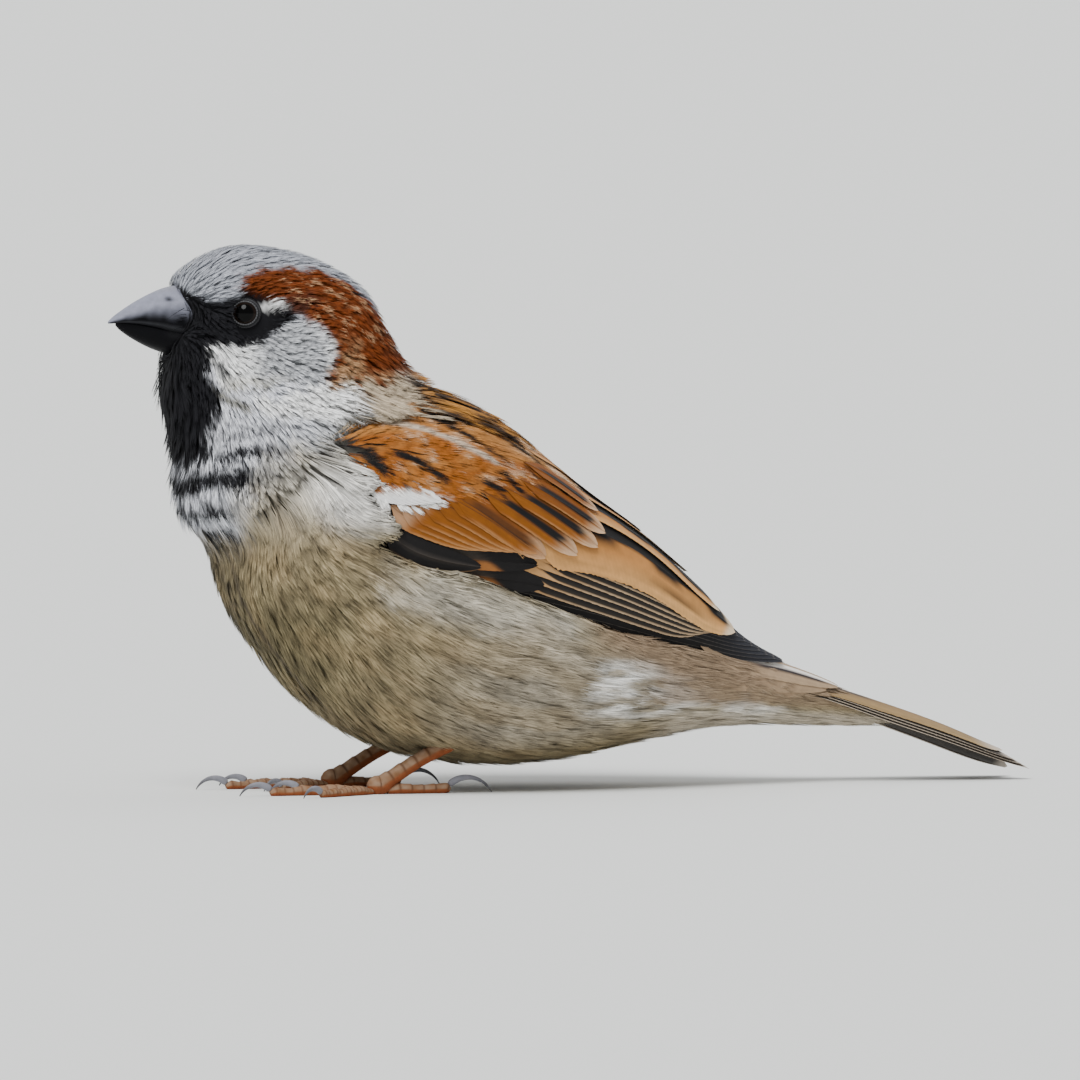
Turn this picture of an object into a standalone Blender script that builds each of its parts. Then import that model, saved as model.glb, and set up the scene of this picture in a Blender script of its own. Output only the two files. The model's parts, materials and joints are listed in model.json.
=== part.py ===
"""Male house sparrow, life size, standing in a low crouch with its wings folded.

Sizes are millimetres until add_solid() turns them into Blender's metres.
+Z is up, the bird faces -Y, its left side is +X, and the floor is z = 0.
Each part is one closed solid, parted from its neighbours by a thin gap.
"""

import math

import bmesh
import bpy
import numpy as np
from mathutils import Matrix, Vector

MM = 0.001
GAP = 0.3  # between neighbouring solids

# The body is a ladder of sections from the bill to the root of the tail. Each rung runs from
# a point on the back line to a point on the belly line: (y, z) of both ends, the half width,
# how far up the rung the body is widest, and how square the section is (2 is an ellipse).
BODY = {
    "bill_root": ((-37.4, 66.0), (-37.9, 57.4), 3.6, 0.50, 2.0),
    "forehead": ((-37.5, 67.8), (-39.0, 56.2), 5.4, 0.50, 2.0),
    "brow": ((-34.7, 69.9), (-39.3, 53.6), 7.0, 0.55, 2.2),
    "eye": ((-30.0, 71.6), (-39.1, 50.5), 8.4, 0.58, 2.4),
    "crown": ((-24.4, 71.4), (-38.3, 47.4), 9.5, 0.56, 2.4),
    "ear": ((-18.1, 69.6), (-37.8, 43.3), 11.0, 0.52, 2.4),
    "hindcrown": ((-12.2, 65.8), (-37.6, 38.8), 12.4, 0.49, 2.3),
    "nape": ((-8.8, 59.8), (-36.0, 35.0), 13.6, 0.46, 2.2),
    "neck": ((-5.8, 55.4), (-32.8, 31.4), 15.3, 0.46, 2.2),
    "shoulder": ((-0.1, 52.2), (-30.7, 25.0), 17.6, 0.46, 2.3),
    "breast": ((6.7, 48.0), (-26.5, 18.6), 19.6, 0.46, 2.3),
    "mantle": ((13.2, 42.0), (-20.1, 11.7), 20.3, 0.46, 2.3),
    "belly": ((19.8, 35.4), (-11.3, 6.1), 19.6, 0.48, 2.3),
    "flank": ((26.4, 29.2), (0.6, 3.4), 17.6, 0.50, 2.2),
    "rump": ((32.4, 23.4), (13.3, 3.5), 14.2, 0.52, 2.1),
    "vent": ((38.6, 19.0), (25.0, 5.6), 10.2, 0.54, 2.0),
    "tail_root": ((46.2, 15.9), (38.0, 7.6), 6.6, 0.56, 2.0),
    "coverts_end": ((53.6, 12.8), (51.6, 7.4), 3.2, 0.60, 2.0),
}
HEAD_ENDS, NECK_ENDS, TRUNK_ENDS = 6.0, 8.0, 14.6  # rungs where the body is parted
BODY_SIDES = 22
RINGS_PER_RUNG = 2.0

HEAD_TURN = math.radians(-8)  # the head looks a little to the bird's right
NECK_PIVOT_Y = -12.0
TURN_FROM_Z, TURN_FULL_Z = 40.0, 56.0

EYE_CENTRE = (6.95, -29.3, 62.9)
EYE_RADIUS = 2.5

# The bill: (y, culmen z, tomium z, half width) of the upper half, and (y, tomium z, gonys z,
# half width) of the lower half, from root to tip.
UPPER_BILL = (
    (-38.1, 66.3, 60.5, 3.5),
    (-40.2, 65.6, 61.1, 3.0),
    (-42.6, 64.4, 61.6, 2.1),
    (-44.8, 63.0, 61.7, 1.2),
    (-46.2, 62.1, 61.5, 0.35),
)
LOWER_BILL = (
    (-38.1, 60.2, 57.6, 3.3),
    (-40.4, 60.8, 58.2, 2.7),
    (-42.8, 61.3, 59.4, 1.7),
    (-45.2, 61.4, 60.8, 0.6),
)

# The folded left wing, from shoulder to tip: its lower edge and its upper edge as (x, y, z),
# how far it bulges outward between them, and its thickness.
WING = (
    ((16.4, -20.8, 44.4), (14.6, -20.0, 48.0), 0.6, 1.2),
    ((19.6, -17.6, 38.4), (12.0, -11.6, 51.2), 3.0, 2.0),
    ((20.6, -15.0, 32.6), (9.0, -1.0, 50.2), 5.6, 2.4),
    ((20.8, -7.6, 28.6), (7.0, 8.2, 45.6), 6.6, 2.4),
    ((20.0, 2.6, 25.8), (5.2, 17.0, 38.8), 6.2, 2.2),
    ((17.0, 14.7, 22.6), (4.2, 25.2, 33.0), 4.8, 1.9),
    ((12.6, 26.0, 19.8), (3.2, 32.8, 26.6), 3.2, 1.6),
    ((8.2, 36.4, 18.0), (2.6, 39.4, 20.2), 1.4, 1.2),
    ((4.6, 45.2, 16.4), (2.6, 46.0, 17.0), 0.2, 0.8),
)
WING_PARTED = 3.9  # where the coverts end and the long feathers begin
WING_STEPS = 3  # sections per station

# The closed tail is a low roof: its ridge (y, z), half width and the drop from ridge to edge.
TAIL = (
    (44.0, 14.6, 3.6, 1.2),
    (52.0, 12.8, 4.6, 1.9),
    (60.0, 10.3, 5.2, 2.3),
    (68.0, 7.5, 5.6, 2.2),
    (75.0, 4.6, 5.6, 1.7),
    (79.6, 2.7, 5.0, 1.1),
)
TAIL_THICKNESS = 0.8
TAIL_NOTCH = 3.2  # the middle feathers end this far short of the outer ones

FOOT_X, FOOT_Y = 9.0, -13.6  # where the toes of the left foot meet
TARSUS_LENGTH, TARSUS_RISE = 14.5, 6.8
TARSUS_RADIUS = 1.12
TARSUS_BOW = 0.7  # how far it arches up in the middle
FOOT_BALL = 1.35
FOOT_HEIGHT = 1.1
THIGH_CENTRE = (9.4, 2.6, 9.6)
THIGH_RADII = (5.4, 9.4, 5.2)
# Each toe: its angle from straight ahead (outward is positive), its length and radius
# without the claw, the number of joints, and the claw's length.
TOES = {
    "hind": (176.0, 7.4, 0.78, 1, 6.8),
    "inner": (-33.0, 8.6, 0.66, 2, 4.4),
    "middle": (-1.0, 12.6, 0.70, 3, 5.0),
    "outer": (31.0, 9.4, 0.64, 4, 4.2),
}
CLAW_RISE, CLAW_FALL = math.radians(42), math.radians(62)
CLAW_RADIUS = 0.46
CLAW_TIP_HEIGHT = 0.05  # of the tip's middle, so that its underside is on the floor
SIDES = {"left": 1, "right": -1}

FINISH = {  # base colour, roughness
    "crown": ((0.27, 0.25, 0.25), 0.9),
    "breast": ((0.46, 0.40, 0.31), 0.9),
    "wing": ((0.42, 0.17, 0.05), 0.8),
    "tail": ((0.25, 0.18, 0.12), 0.8),
    "bill": ((0.03, 0.03, 0.035), 0.4),
    "eye": ((0.01, 0.008, 0.006), 0.05),
    "leg": ((0.42, 0.20, 0.13), 0.6),
    "claw": ((0.20, 0.19, 0.20), 0.4),
}


def clear_scene():
    for obj in list(bpy.data.objects):
        bpy.data.objects.remove(obj)


def finish(name):
    """The named finish as a material, made once."""
    if name in bpy.data.materials:
        return bpy.data.materials[name]
    material = bpy.data.materials.new(name)
    material.use_nodes = True
    shader = material.node_tree.nodes["Principled BSDF"]
    colour, roughness = FINISH[name]
    shader.inputs["Base Color"].default_value = (*colour, 1.0)
    shader.inputs["Roughness"].default_value = roughness
    shader.inputs["Metallic"].default_value = 0.0
    return material


def add_mesh(name, rings, colour):
    """Skins a row of rings, closes both ends with strips and makes one object of it."""
    mesh = bmesh.new()
    rows = [[mesh.verts.new(Vector(p) * MM) for p in ring] for ring in rings]
    for row, after in zip(rows, rows[1:]):
        for i in range(len(row)):
            j = (i + 1) % len(row)
            mesh.faces.new((row[i], row[j], after[j], after[i]))
    for row in (rows[0], rows[-1]):
        for i in range(len(row) // 2 - 1):
            mesh.faces.new((row[i], row[i + 1], row[-2 - i], row[-1 - i]))
    bmesh.ops.recalc_face_normals(mesh, faces=mesh.faces)
    data = bpy.data.meshes.new(name)
    mesh.to_mesh(data)
    mesh.free()
    return add_solid(name, data, colour)


def add_solid(name, data, colour):
    obj = bpy.data.objects.new(name, data)
    bpy.context.scene.collection.objects.link(obj)
    if not data.materials:
        data.materials.append(finish(colour))
    data.shade_smooth()
    data.set_sharp_from_angle(angle=math.radians(50))
    return obj


def add_cutter(obj):
    """Turns an object into a helper that only cuts."""
    obj.hide_render = True
    obj.display_type = "WIRE"
    return obj


def cut(obj, *cutters):
    for cutter in cutters:
        modifier = obj.modifiers.new("part_from_" + cutter.name, "BOOLEAN")
        modifier.operation = "DIFFERENCE"
        modifier.object = cutter


def along(table, at):
    """A smooth curve through the rows of a table, read at a row number such as 2.5."""
    rows = np.asarray(table, float)
    last = len(rows) - 1
    i = int(min(max(math.floor(at), 0), last - 1))
    t = at - i
    before = rows[i - 1] if i else 2 * rows[0] - rows[1]
    after = rows[i + 2] if i + 2 <= last else 2 * rows[last] - rows[last - 1]
    start, end = rows[i], rows[i + 1]
    return start + 0.5 * t * (
        end
        - before
        + t * (2 * before - 5 * start + 4 * end - after + t * (3 * (start - end) + after - before))
    )


BODY_ROWS = [(*back, *belly, *rest) for back, belly, *rest in BODY.values()]


def turned(point):
    """A point of the head or neck after the head has turned on the neck."""
    x, y, z = point
    share = min(max((z - TURN_FROM_Z) / (TURN_FULL_Z - TURN_FROM_Z), 0.0), 1.0)
    share = share * share * (3 - 2 * share)
    turn = Matrix.Rotation(HEAD_TURN * share, 3, "Z")
    pivot = Vector((0.0, NECK_PIVOT_Y, 0.0))
    return turn @ (Vector((x, y, z)) - pivot) + pivot


def body_ring(at):
    """The body's section at a rung number."""
    back_y, back_z, belly_y, belly_z, width, widest, square = along(BODY_ROWS, at)
    back, belly = np.array((back_y, back_z)), np.array((belly_y, belly_z))
    middle = belly + (back - belly) * widest
    ring = []
    for i in range(BODY_SIDES):
        angle = 2 * math.pi * i / BODY_SIDES
        side, up = math.sin(angle), math.cos(angle)
        side = math.copysign(abs(side) ** (2 / square), side)
        up = math.copysign(abs(up) ** (2 / square), up)
        reach = (back - middle) * up if up > 0 else (middle - belly) * up
        ring.append(turned((width * side, *(middle + reach))))
    return ring


def body_piece(name, start, end, colour):
    count = max(2, round((end - start) * RINGS_PER_RUNG) + 1)
    return add_mesh(name, [body_ring(at) for at in np.linspace(start, end, count)], colour)


def make_body():
    """Head, neck, trunk and tail coverts, parted across the body by thin gaps."""
    part = 0.035  # half of a parting, in rungs
    last = len(BODY) - 1
    return {
        "head": body_piece("head", 0, HEAD_ENDS - part, "crown"),
        "neck": body_piece("neck", HEAD_ENDS + part, NECK_ENDS - part, "crown"),
        "trunk": body_piece("trunk", NECK_ENDS + part, TRUNK_ENDS - part, "breast"),
        "tail_coverts": body_piece("tail_coverts", TRUNK_ENDS + part, last, "breast"),
    }


def ball(name, centre, radii, colour, rings=8, sides=12):
    mesh = bmesh.new()
    bmesh.ops.create_uvsphere(mesh, u_segments=sides, v_segments=rings, radius=1.0)
    stretch = Matrix.Diagonal((*radii, 1.0))
    mesh.transform(Matrix.Scale(MM, 4) @ Matrix.Translation(centre) @ stretch)
    data = bpy.data.meshes.new(name)
    mesh.to_mesh(data)
    mesh.free()
    return add_solid(name, data, colour)


def make_eyes(head):
    for side, sign in SIDES.items():
        x, y, z = EYE_CENTRE
        centre = turned((sign * x, y, z))
        ball(f"eye_{side}", centre, (EYE_RADIUS,) * 3, "eye")
        cut(head, add_cutter(ball(f"cut_eye_{side}", centre, (EYE_RADIUS + GAP,) * 3, "eye")))


def bill_ring(y, edge, ridge, width, sides=8):
    """A half round section, from the bill's cutting edge to its ridge, above or below."""
    ring = []
    for i in range(sides + 1):
        angle = math.pi * i / sides
        ring.append(turned((width * math.cos(angle), y, edge + (ridge - edge) * math.sin(angle))))
    ring += [turned((x * width, y, edge)) for x in (-0.5, 0.0, 0.5)]
    return ring


def make_bill():
    steps = np.linspace(0, len(UPPER_BILL) - 1, 9)
    rows = [along(UPPER_BILL, at) for at in steps]
    add_mesh("bill_upper", [bill_ring(y, edge, top, w) for y, top, edge, w in rows], "bill")
    steps = np.linspace(0, len(LOWER_BILL) - 1, 7)
    rows = [along(LOWER_BILL, at) for at in steps]
    add_mesh("bill_lower", [bill_ring(y, edge, low, w) for y, edge, low, w in rows], "bill")


WING_ROWS = [(*low, *high, bulge, thick) for low, high, bulge, thick in WING]


def wing_ring(at, sign, grow=0.0, points=6):
    """The wing's section at a station: out along the outer face, back along the inner one."""
    row = along(WING_ROWS, at)
    low, high = Vector(row[0:3]), Vector(row[3:6])
    bulge, thick = row[6:8]
    across = (high - low).normalized()
    near, far = along(WING_ROWS, at - 0.5), along(WING_ROWS, at + 0.5)
    length = (Vector(far[0:3]) + Vector(far[3:6]) - Vector(near[0:3]) - Vector(near[3:6])).normalized()
    outward = length.cross(across).normalized()
    if outward.x < 0:
        outward.negate()
    outer, inner = [], []
    for i in range(points + 1):
        t = i / points
        arch = 4 * bulge * t * (1 - t)
        face = low.lerp(high, t) + outward * arch + across * (2 * t - 1) * grow
        depth = max(0.5, thick * math.sin(math.pi * (0.12 + 0.76 * t)))
        outer.append(face + outward * grow)
        inner.append(face - outward * (depth + grow))
    return [Vector((sign * p.x, p.y, p.z)) for p in outer + inner[::-1]]


def wing_piece(name, sign, start, end, grow=0.0):
    count = round((end - start) * WING_STEPS) + 1
    stations = np.linspace(start, end, count)
    return add_mesh(name, [wing_ring(at, sign, grow) for at in stations], "wing")


def make_wings():
    """Both folded wings, each parted into coverts and flight feathers. Returns cutters."""
    part = 0.04
    last = len(WING) - 1
    cutters = []
    for side, sign in SIDES.items():
        wing_piece(f"wing_{side}_coverts", sign, 0, WING_PARTED - part)
        wing_piece(f"wing_{side}_flight", sign, WING_PARTED + part, last)
        cutters.append(add_cutter(wing_piece(f"cut_wing_{side}", sign, -0.05, last, GAP)))
    return cutters


def tail_ring(at, end_step=0.0, grow=0.0):
    """A roof-shaped section of the tail. end_step pulls its middle back for the notch."""
    y, ridge, width, drop = along(TAIL, at)
    top, low = [], []
    for i in range(9):
        t = i / 4 - 1
        back = end_step * (1 - abs(t)) ** 1.5
        rise = 0.12 * width * (1 - t * t)  # each side of the roof is slightly arched
        z = ridge - drop * abs(t) ** 1.3 + rise * 0.3
        top.append(Vector((t * (width + grow), y - back, z + grow)))
        low.append(Vector((t * (width + grow), y - back, z - TAIL_THICKNESS - grow)))
    return top + low[::-1]


def make_tail():
    stations = np.linspace(0, len(TAIL) - 1, 14)
    rings = [tail_ring(at, TAIL_NOTCH * max(0.0, at - 4) ** 2) for at in stations]
    add_mesh("tail", rings, "tail")
    cutter = [tail_ring(at, 0, GAP) for at in np.linspace(-0.04, 3, 8)]
    return add_cutter(add_mesh("cut_tail", cutter, "tail"))


def tube_ring(centre, radius, forward, squash=1.0, sides=8):
    """A round section across a forward direction, squashed sideways by a factor."""
    forward = Vector(forward).normalized()
    side = forward.cross(Vector((0, 0, 1))).normalized()
    up = side.cross(forward)
    ring = []
    for i in range(sides):
        angle = 2 * math.pi * (i + 0.5) / sides
        offset = side * math.cos(angle) * squash + up * math.sin(angle)
        ring.append(Vector(centre) + offset * radius)
    return ring


def grounded(ring):
    """A ring with the part below the floor pressed flat on it."""
    return [Vector((p.x, p.y, max(p.z, 0.0))) for p in ring]


def toe_rings(length, radius, joints, start):
    """A toe along +Y from the ball of the foot, with a pad under each joint."""
    rings = []
    for t in np.linspace(0, 1, 3 * joints + 4):
        taper = 1 - 0.18 * t - 0.45 * max(0.0, 1 - t * length / 1.6)
        pad = 1 + 0.10 * math.cos(2 * math.pi * joints * t)
        r = radius * taper * pad * (0.8 if t == 1 else 1)
        rings.append(grounded(tube_ring((0, start + t * length, 0.86 * r), r, (0, 1, 0))))
    return rings


def claw_rings(length, start):
    """A claw along +Y that arches up from the toe and comes down to the floor."""
    curve = length / (CLAW_RISE + CLAW_FALL)  # radius of the arc
    steps = 7
    drop = curve * (math.cos(CLAW_RISE) - math.cos(CLAW_FALL))
    rings = []
    for i in range(steps):
        t = i / (steps - 1)
        angle = CLAW_RISE - t * (CLAW_RISE + CLAW_FALL)
        y = start + curve * (math.sin(CLAW_RISE) - math.sin(angle))
        z = CLAW_TIP_HEIGHT + drop + curve * (math.cos(angle) - math.cos(CLAW_RISE))
        r = CLAW_RADIUS * (1 - 0.82 * t)
        forward = (0, math.cos(angle), math.sin(angle))
        rings.append(grounded(tube_ring((0, y, z), r, forward, squash=0.72, sides=6)))
    return rings


def tarsus_rings(grow=0.0):
    """From the ball of the foot up and back to where the leg enters the thigh's feathers."""
    rings = []
    back, rise = TARSUS_LENGTH, TARSUS_RISE
    slope = Vector((0, back, rise)).normalized()
    for t, size in ((-0.09, 0.45), (-0.065, 0.85), (-0.025, 1.15), (0.025, 1.17), (0.08, 1.08),
                    (0.15, 0.94), (0.4, 0.86), (0.7, 0.9), (0.92, 1.0), (1.0, 1.1)):
        climb = max(t - 0.03, 0.0) / 0.97
        bow = TARSUS_BOW * math.sin(math.pi * climb)
        centre = Vector((0, t * back, FOOT_HEIGHT + climb * rise + bow))
        rings.append(grounded(tube_ring(centre, TARSUS_RADIUS * size + grow, slope, sides=12)))
    return rings


def make_leg(side, sign, body):
    """Thigh, tarsus and four clawed toes of one side, the toes placed round the foot's hub."""
    hub = bpy.data.objects.new(f"foot_{side}_hub", None)
    hub.location = Vector((sign * FOOT_X, FOOT_Y, 0)) * MM
    bpy.context.scene.collection.objects.link(hub)
    tarsus = add_mesh(f"tarsus_{side}", tarsus_rings(), "leg")
    tarsus_cutter = add_cutter(add_mesh(f"cut_tarsus_{side}", tarsus_rings(GAP), "leg"))
    for obj in (tarsus, tarsus_cutter):
        obj.parent = hub
    x, y, z = THIGH_CENTRE
    centre = (sign * x, y, z)
    thigh = ball(f"thigh_{side}", centre, THIGH_RADII, "breast", 10, 16)
    grown = tuple(r + GAP for r in THIGH_RADII)
    thigh_cutter = add_cutter(ball(f"cut_thigh_{side}", centre, grown, "breast", 10, 16))
    cut(thigh, tarsus_cutter)
    cut(body["trunk"], thigh_cutter, tarsus_cutter)
    for toe, (angle, length, radius, joints, claw) in TOES.items():
        start = FOOT_BALL + GAP + (0.65 if toe == "hind" else 0.25)
        rings = toe_rings(length, radius, joints, start)
        digit = add_mesh(f"toe_{side}_{toe}", rings, "leg")
        nail = add_mesh(f"claw_{side}_{toe}", claw_rings(claw, start + length + GAP), "claw")
        for obj in (digit, nail):
            obj.parent = hub
            # Local +Y turned to face ahead (-Y), then outward by the toe's angle.
            obj.rotation_euler.z = math.pi + sign * math.radians(angle)


def centre_on_floor():
    """Moves the whole bird so that the middle of its box stands on the origin."""
    bpy.context.view_layer.update()
    graph = bpy.context.evaluated_depsgraph_get()
    corners = [
        obj.matrix_world @ Vector(corner)
        for obj in bpy.context.scene.objects
        if obj.type == "MESH" and not obj.hide_render
        for corner in obj.evaluated_get(graph).bound_box
    ]
    low = np.min(corners, axis=0)
    high = np.max(corners, axis=0)
    root = bpy.data.objects.new("sparrow", None)
    bpy.context.scene.collection.objects.link(root)
    for obj in list(bpy.context.scene.objects):
        if obj.parent is None and obj is not root:
            obj.parent = root
    middle = (low + high) / 2
    root.location = (-middle[0], -middle[1], -low[2])


def main():
    clear_scene()
    body = make_body()
    make_eyes(body["head"])
    make_bill()
    wing_cutters = make_wings()
    cut(body["neck"], *wing_cutters)
    cut(body["trunk"], *wing_cutters)
    cut(body["tail_coverts"], *wing_cutters, make_tail())
    for side, sign in SIDES.items():
        make_leg(side, sign, body)
    centre_on_floor()


main()
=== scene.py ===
"""Looks of a male house sparrow: skin, coat of feathers, wings, tail, bill, eyes and feet.

Lengths are millimetres in the bird's own axes until to_frame() turns the head, shifts the
bird to the frame and makes them metres. The bird faces -Y with its left side at +X.
"""

import json
import math

import bmesh
import bpy
import numpy as np
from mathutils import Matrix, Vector

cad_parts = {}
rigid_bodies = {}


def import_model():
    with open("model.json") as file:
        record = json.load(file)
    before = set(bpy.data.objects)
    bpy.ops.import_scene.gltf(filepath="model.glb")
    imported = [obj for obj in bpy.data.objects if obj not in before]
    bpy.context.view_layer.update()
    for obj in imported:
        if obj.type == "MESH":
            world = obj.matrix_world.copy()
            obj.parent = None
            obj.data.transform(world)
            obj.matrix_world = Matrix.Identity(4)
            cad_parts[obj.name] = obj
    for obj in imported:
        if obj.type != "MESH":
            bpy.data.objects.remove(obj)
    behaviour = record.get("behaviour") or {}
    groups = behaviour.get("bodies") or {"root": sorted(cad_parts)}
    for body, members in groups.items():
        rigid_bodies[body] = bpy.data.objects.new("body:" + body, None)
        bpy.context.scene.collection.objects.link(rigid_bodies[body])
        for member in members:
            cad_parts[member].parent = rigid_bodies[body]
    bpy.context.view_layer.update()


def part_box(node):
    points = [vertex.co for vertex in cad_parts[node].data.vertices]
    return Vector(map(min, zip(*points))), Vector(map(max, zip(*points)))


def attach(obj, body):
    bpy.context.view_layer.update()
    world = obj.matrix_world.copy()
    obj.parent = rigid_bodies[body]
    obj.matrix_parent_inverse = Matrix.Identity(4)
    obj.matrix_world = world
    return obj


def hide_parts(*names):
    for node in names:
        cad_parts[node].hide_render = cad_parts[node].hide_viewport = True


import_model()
MM = 0.001
TAIL_TIP_Y = 79.6  # in the bird's axes, and the frame says where that tip is
SHIFT_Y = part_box("tail")[1].y / MM - TAIL_TIP_Y

# Back point (y, z), belly point (y, z), half width, height of the widest place, squareness.
BODY = np.array((
    (-37.4, 66.0, -37.9, 57.4, 3.6, 0.50, 2.0),  # 0 bill root
    (-37.5, 67.8, -39.0, 56.2, 5.4, 0.50, 2.0),  # 1 forehead
    (-34.7, 69.9, -39.3, 53.6, 7.0, 0.55, 2.2),  # 2 brow
    (-30.0, 71.6, -39.1, 50.5, 8.4, 0.58, 2.4),  # 3 eye
    (-24.4, 71.4, -38.3, 47.4, 9.5, 0.56, 2.4),  # 4 crown
    (-18.1, 69.6, -37.8, 43.3, 11.0, 0.52, 2.4),  # 5 ear
    (-12.2, 65.8, -37.6, 38.8, 12.4, 0.49, 2.3),  # 6 hindcrown
    (-8.8, 59.8, -36.0, 35.0, 13.6, 0.46, 2.2),  # 7 nape
    (-5.8, 55.4, -32.8, 31.4, 15.3, 0.46, 2.2),  # 8 neck
    (-0.1, 52.2, -30.7, 25.0, 17.6, 0.46, 2.3),  # 9 shoulder
    (6.7, 48.0, -26.5, 18.6, 19.6, 0.46, 2.3),  # 10 breast
    (13.2, 42.0, -20.1, 11.7, 20.3, 0.46, 2.3),  # 11 mantle
    (19.8, 35.4, -11.3, 6.1, 19.6, 0.48, 2.3),  # 12 belly
    (26.4, 29.2, 0.6, 3.4, 17.6, 0.50, 2.2),  # 13 flank
    (32.4, 23.4, 13.3, 3.5, 14.2, 0.52, 2.1),  # 14 rump
    (38.6, 19.0, 25.0, 5.6, 10.2, 0.54, 2.0),  # 15 vent
    (46.2, 15.9, 38.0, 7.6, 6.6, 0.56, 2.0),  # 16 tail root
    (53.6, 12.8, 51.6, 7.4, 3.2, 0.60, 2.0),  # 17 end of the coverts
))
LAST_RUNG = len(BODY) - 1
HEAD_TURN = math.radians(-8)
NECK_PIVOT_Y = -12.0
TURN_FROM_Z, TURN_FULL_Z = 40.0, 56.0
EYE_CENTRE = np.array((6.95, -29.3, 62.9))
EYE_RADIUS = 2.5

# Depth of the coat at each rung: how far the skin lies inside the feathers' outer face.
COAT_DEPTH = (0.3, 0.5, 0.8, 1.1, 1.4, 1.7, 2.0, 2.2, 2.4, 2.6, 2.8, 2.8, 2.6, 2.4, 2.2, 2.0, 1.6, 1.0)


# ---------------------------------------------------------------- shapes and pieces


def curve_through(table, at):
    """Rows read from a table on a smooth curve, at row numbers such as 2.5."""
    rows = np.atleast_2d(np.asarray(table, float).T).T
    at = np.asarray(at, float)
    last = len(rows) - 1
    i = np.clip(np.floor(at).astype(int), 0, last - 1)
    t = (at - i)[..., None]
    start, end = rows[i], rows[i + 1]
    before = np.where((i > 0)[..., None], rows[np.maximum(i - 1, 0)], 2 * rows[0] - rows[1])
    beyond = 2 * rows[last] - rows[last - 1]
    after = np.where((i + 2 <= last)[..., None], rows[np.minimum(i + 2, last)], beyond)
    cubic = 3 * (start - end) + after - before
    return start + 0.5 * t * (end - before + t * (2 * before - 5 * start + 4 * end - after + t * cubic))


def smooth(low, high, value):
    """0 below low, 1 above high, and a smooth rise between them."""
    t = np.clip((value - low) / (high - low), 0, 1)
    return t * t * (3 - 2 * t)


def body_surface(rung, angle):
    """Points of the coat's outer face. Angle 0 is the back, pi the belly, pi/2 the left side."""
    back_y, back_z, belly_y, belly_z, width, widest, square = np.moveaxis(curve_through(BODY, rung), -1, 0)
    side, up = np.sin(angle), np.cos(angle)
    side = np.sign(side) * np.abs(side) ** (2 / square)
    up = np.sign(up) * np.abs(up) ** (2 / square)
    mid_y = belly_y + (back_y - belly_y) * widest
    mid_z = belly_z + (back_z - belly_z) * widest
    y = mid_y + np.where(up > 0, back_y - mid_y, mid_y - belly_y) * up
    z = mid_z + np.where(up > 0, back_z - mid_z, mid_z - belly_z) * up
    x = width * side
    # The lores are hollow: the face falls in behind the corner of the bill.
    hollow = np.exp(-(((np.abs(x) - 5.2) / 2.8) ** 2 + ((y + 37.4) / 3.0) ** 2 + ((z - 62.4) / 2.5) ** 2))
    return np.stack((x * (1 - 0.10 * hollow), y + 1.9 * hollow, z), -1)


def unit(vectors):
    return vectors / np.maximum(np.linalg.norm(vectors, axis=-1, keepdims=True), 1e-9)


def body_directions(rung, angle):
    """At each place: step along the body per rung, step round it per radian, and the normal."""
    rung = np.clip(rung, 0.02, LAST_RUNG - 0.02)
    along = (body_surface(rung + 0.02, angle) - body_surface(rung - 0.02, angle)) / 0.04
    around = (body_surface(rung, angle + 0.04) - body_surface(rung, angle - 0.04)) / 0.08
    return along, around, unit(np.cross(around, along))


def turn_head(points):
    """Turns the head on the neck: fully above the throat, not at all below the neck."""
    x, y, z = np.moveaxis(points, -1, 0)
    turn = HEAD_TURN * smooth(TURN_FROM_Z, TURN_FULL_Z, z)
    y = y - NECK_PIVOT_Y
    c, s = np.cos(turn), np.sin(turn)
    return np.stack((c * x - s * y, s * x + c * y + NECK_PIVOT_Y, z), -1)


def to_frame(points):
    return (turn_head(np.asarray(points, float)) + (0, SHIFT_Y, 0)) * MM


def blend(base, colour, share):
    """Colours of base with a share of another, for each point."""
    share = np.clip(share, 0, 1)[:, None]
    return np.asarray(base) * (1 - share) + np.asarray(colour) * share


def add_object(name, data):
    """A new object at the origin of the scene."""
    obj = bpy.data.objects.new(name, data)
    bpy.context.scene.collection.objects.link(obj)
    return obj


def declare(name, mesh, replaces=()):
    """Puts a finished mesh in the scene as one piece of the model."""
    obj = add_object(name, mesh)
    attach(obj, "root")
    if replaces:
        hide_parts(*replaces)


def new_piece(name, points, faces, colours, material, slot, replaces=()):
    """A finished piece from points in the bird's axes, their colours, and triangles or quads."""
    mesh = bpy.data.meshes.new(name)
    mesh.from_pydata(to_frame(points).tolist(), [], [list(map(int, f)) for f in faces])
    mesh.materials.append(material)
    mesh.shade_smooth()
    paint(mesh, colours)
    shape = bmesh.new()
    shape.from_mesh(mesh)
    bmesh.ops.recalc_face_normals(shape, faces=shape.faces)
    shape.to_mesh(mesh)
    shape.free()
    declare(name, mesh, replaces)


def paint(mesh, colours):
    """Stores one colour for each point, which the materials read."""
    layer = mesh.color_attributes.new("plumage", "FLOAT_COLOR", "POINT")
    values = np.ones((len(mesh.vertices), 4), np.float32)
    values[:, :3] = colours
    layer.data.foreach_set("color", values.ravel())


def store_uv(mesh, uv):
    """Stores one UV place for each point."""
    layer = mesh.uv_layers.new(name="OFBake")
    corners = np.empty(len(mesh.loops), np.int32)
    mesh.loops.foreach_get("vertex_index", corners)
    layer.data.foreach_set("uv", np.asarray(uv, np.float32)[corners].ravel())


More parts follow.
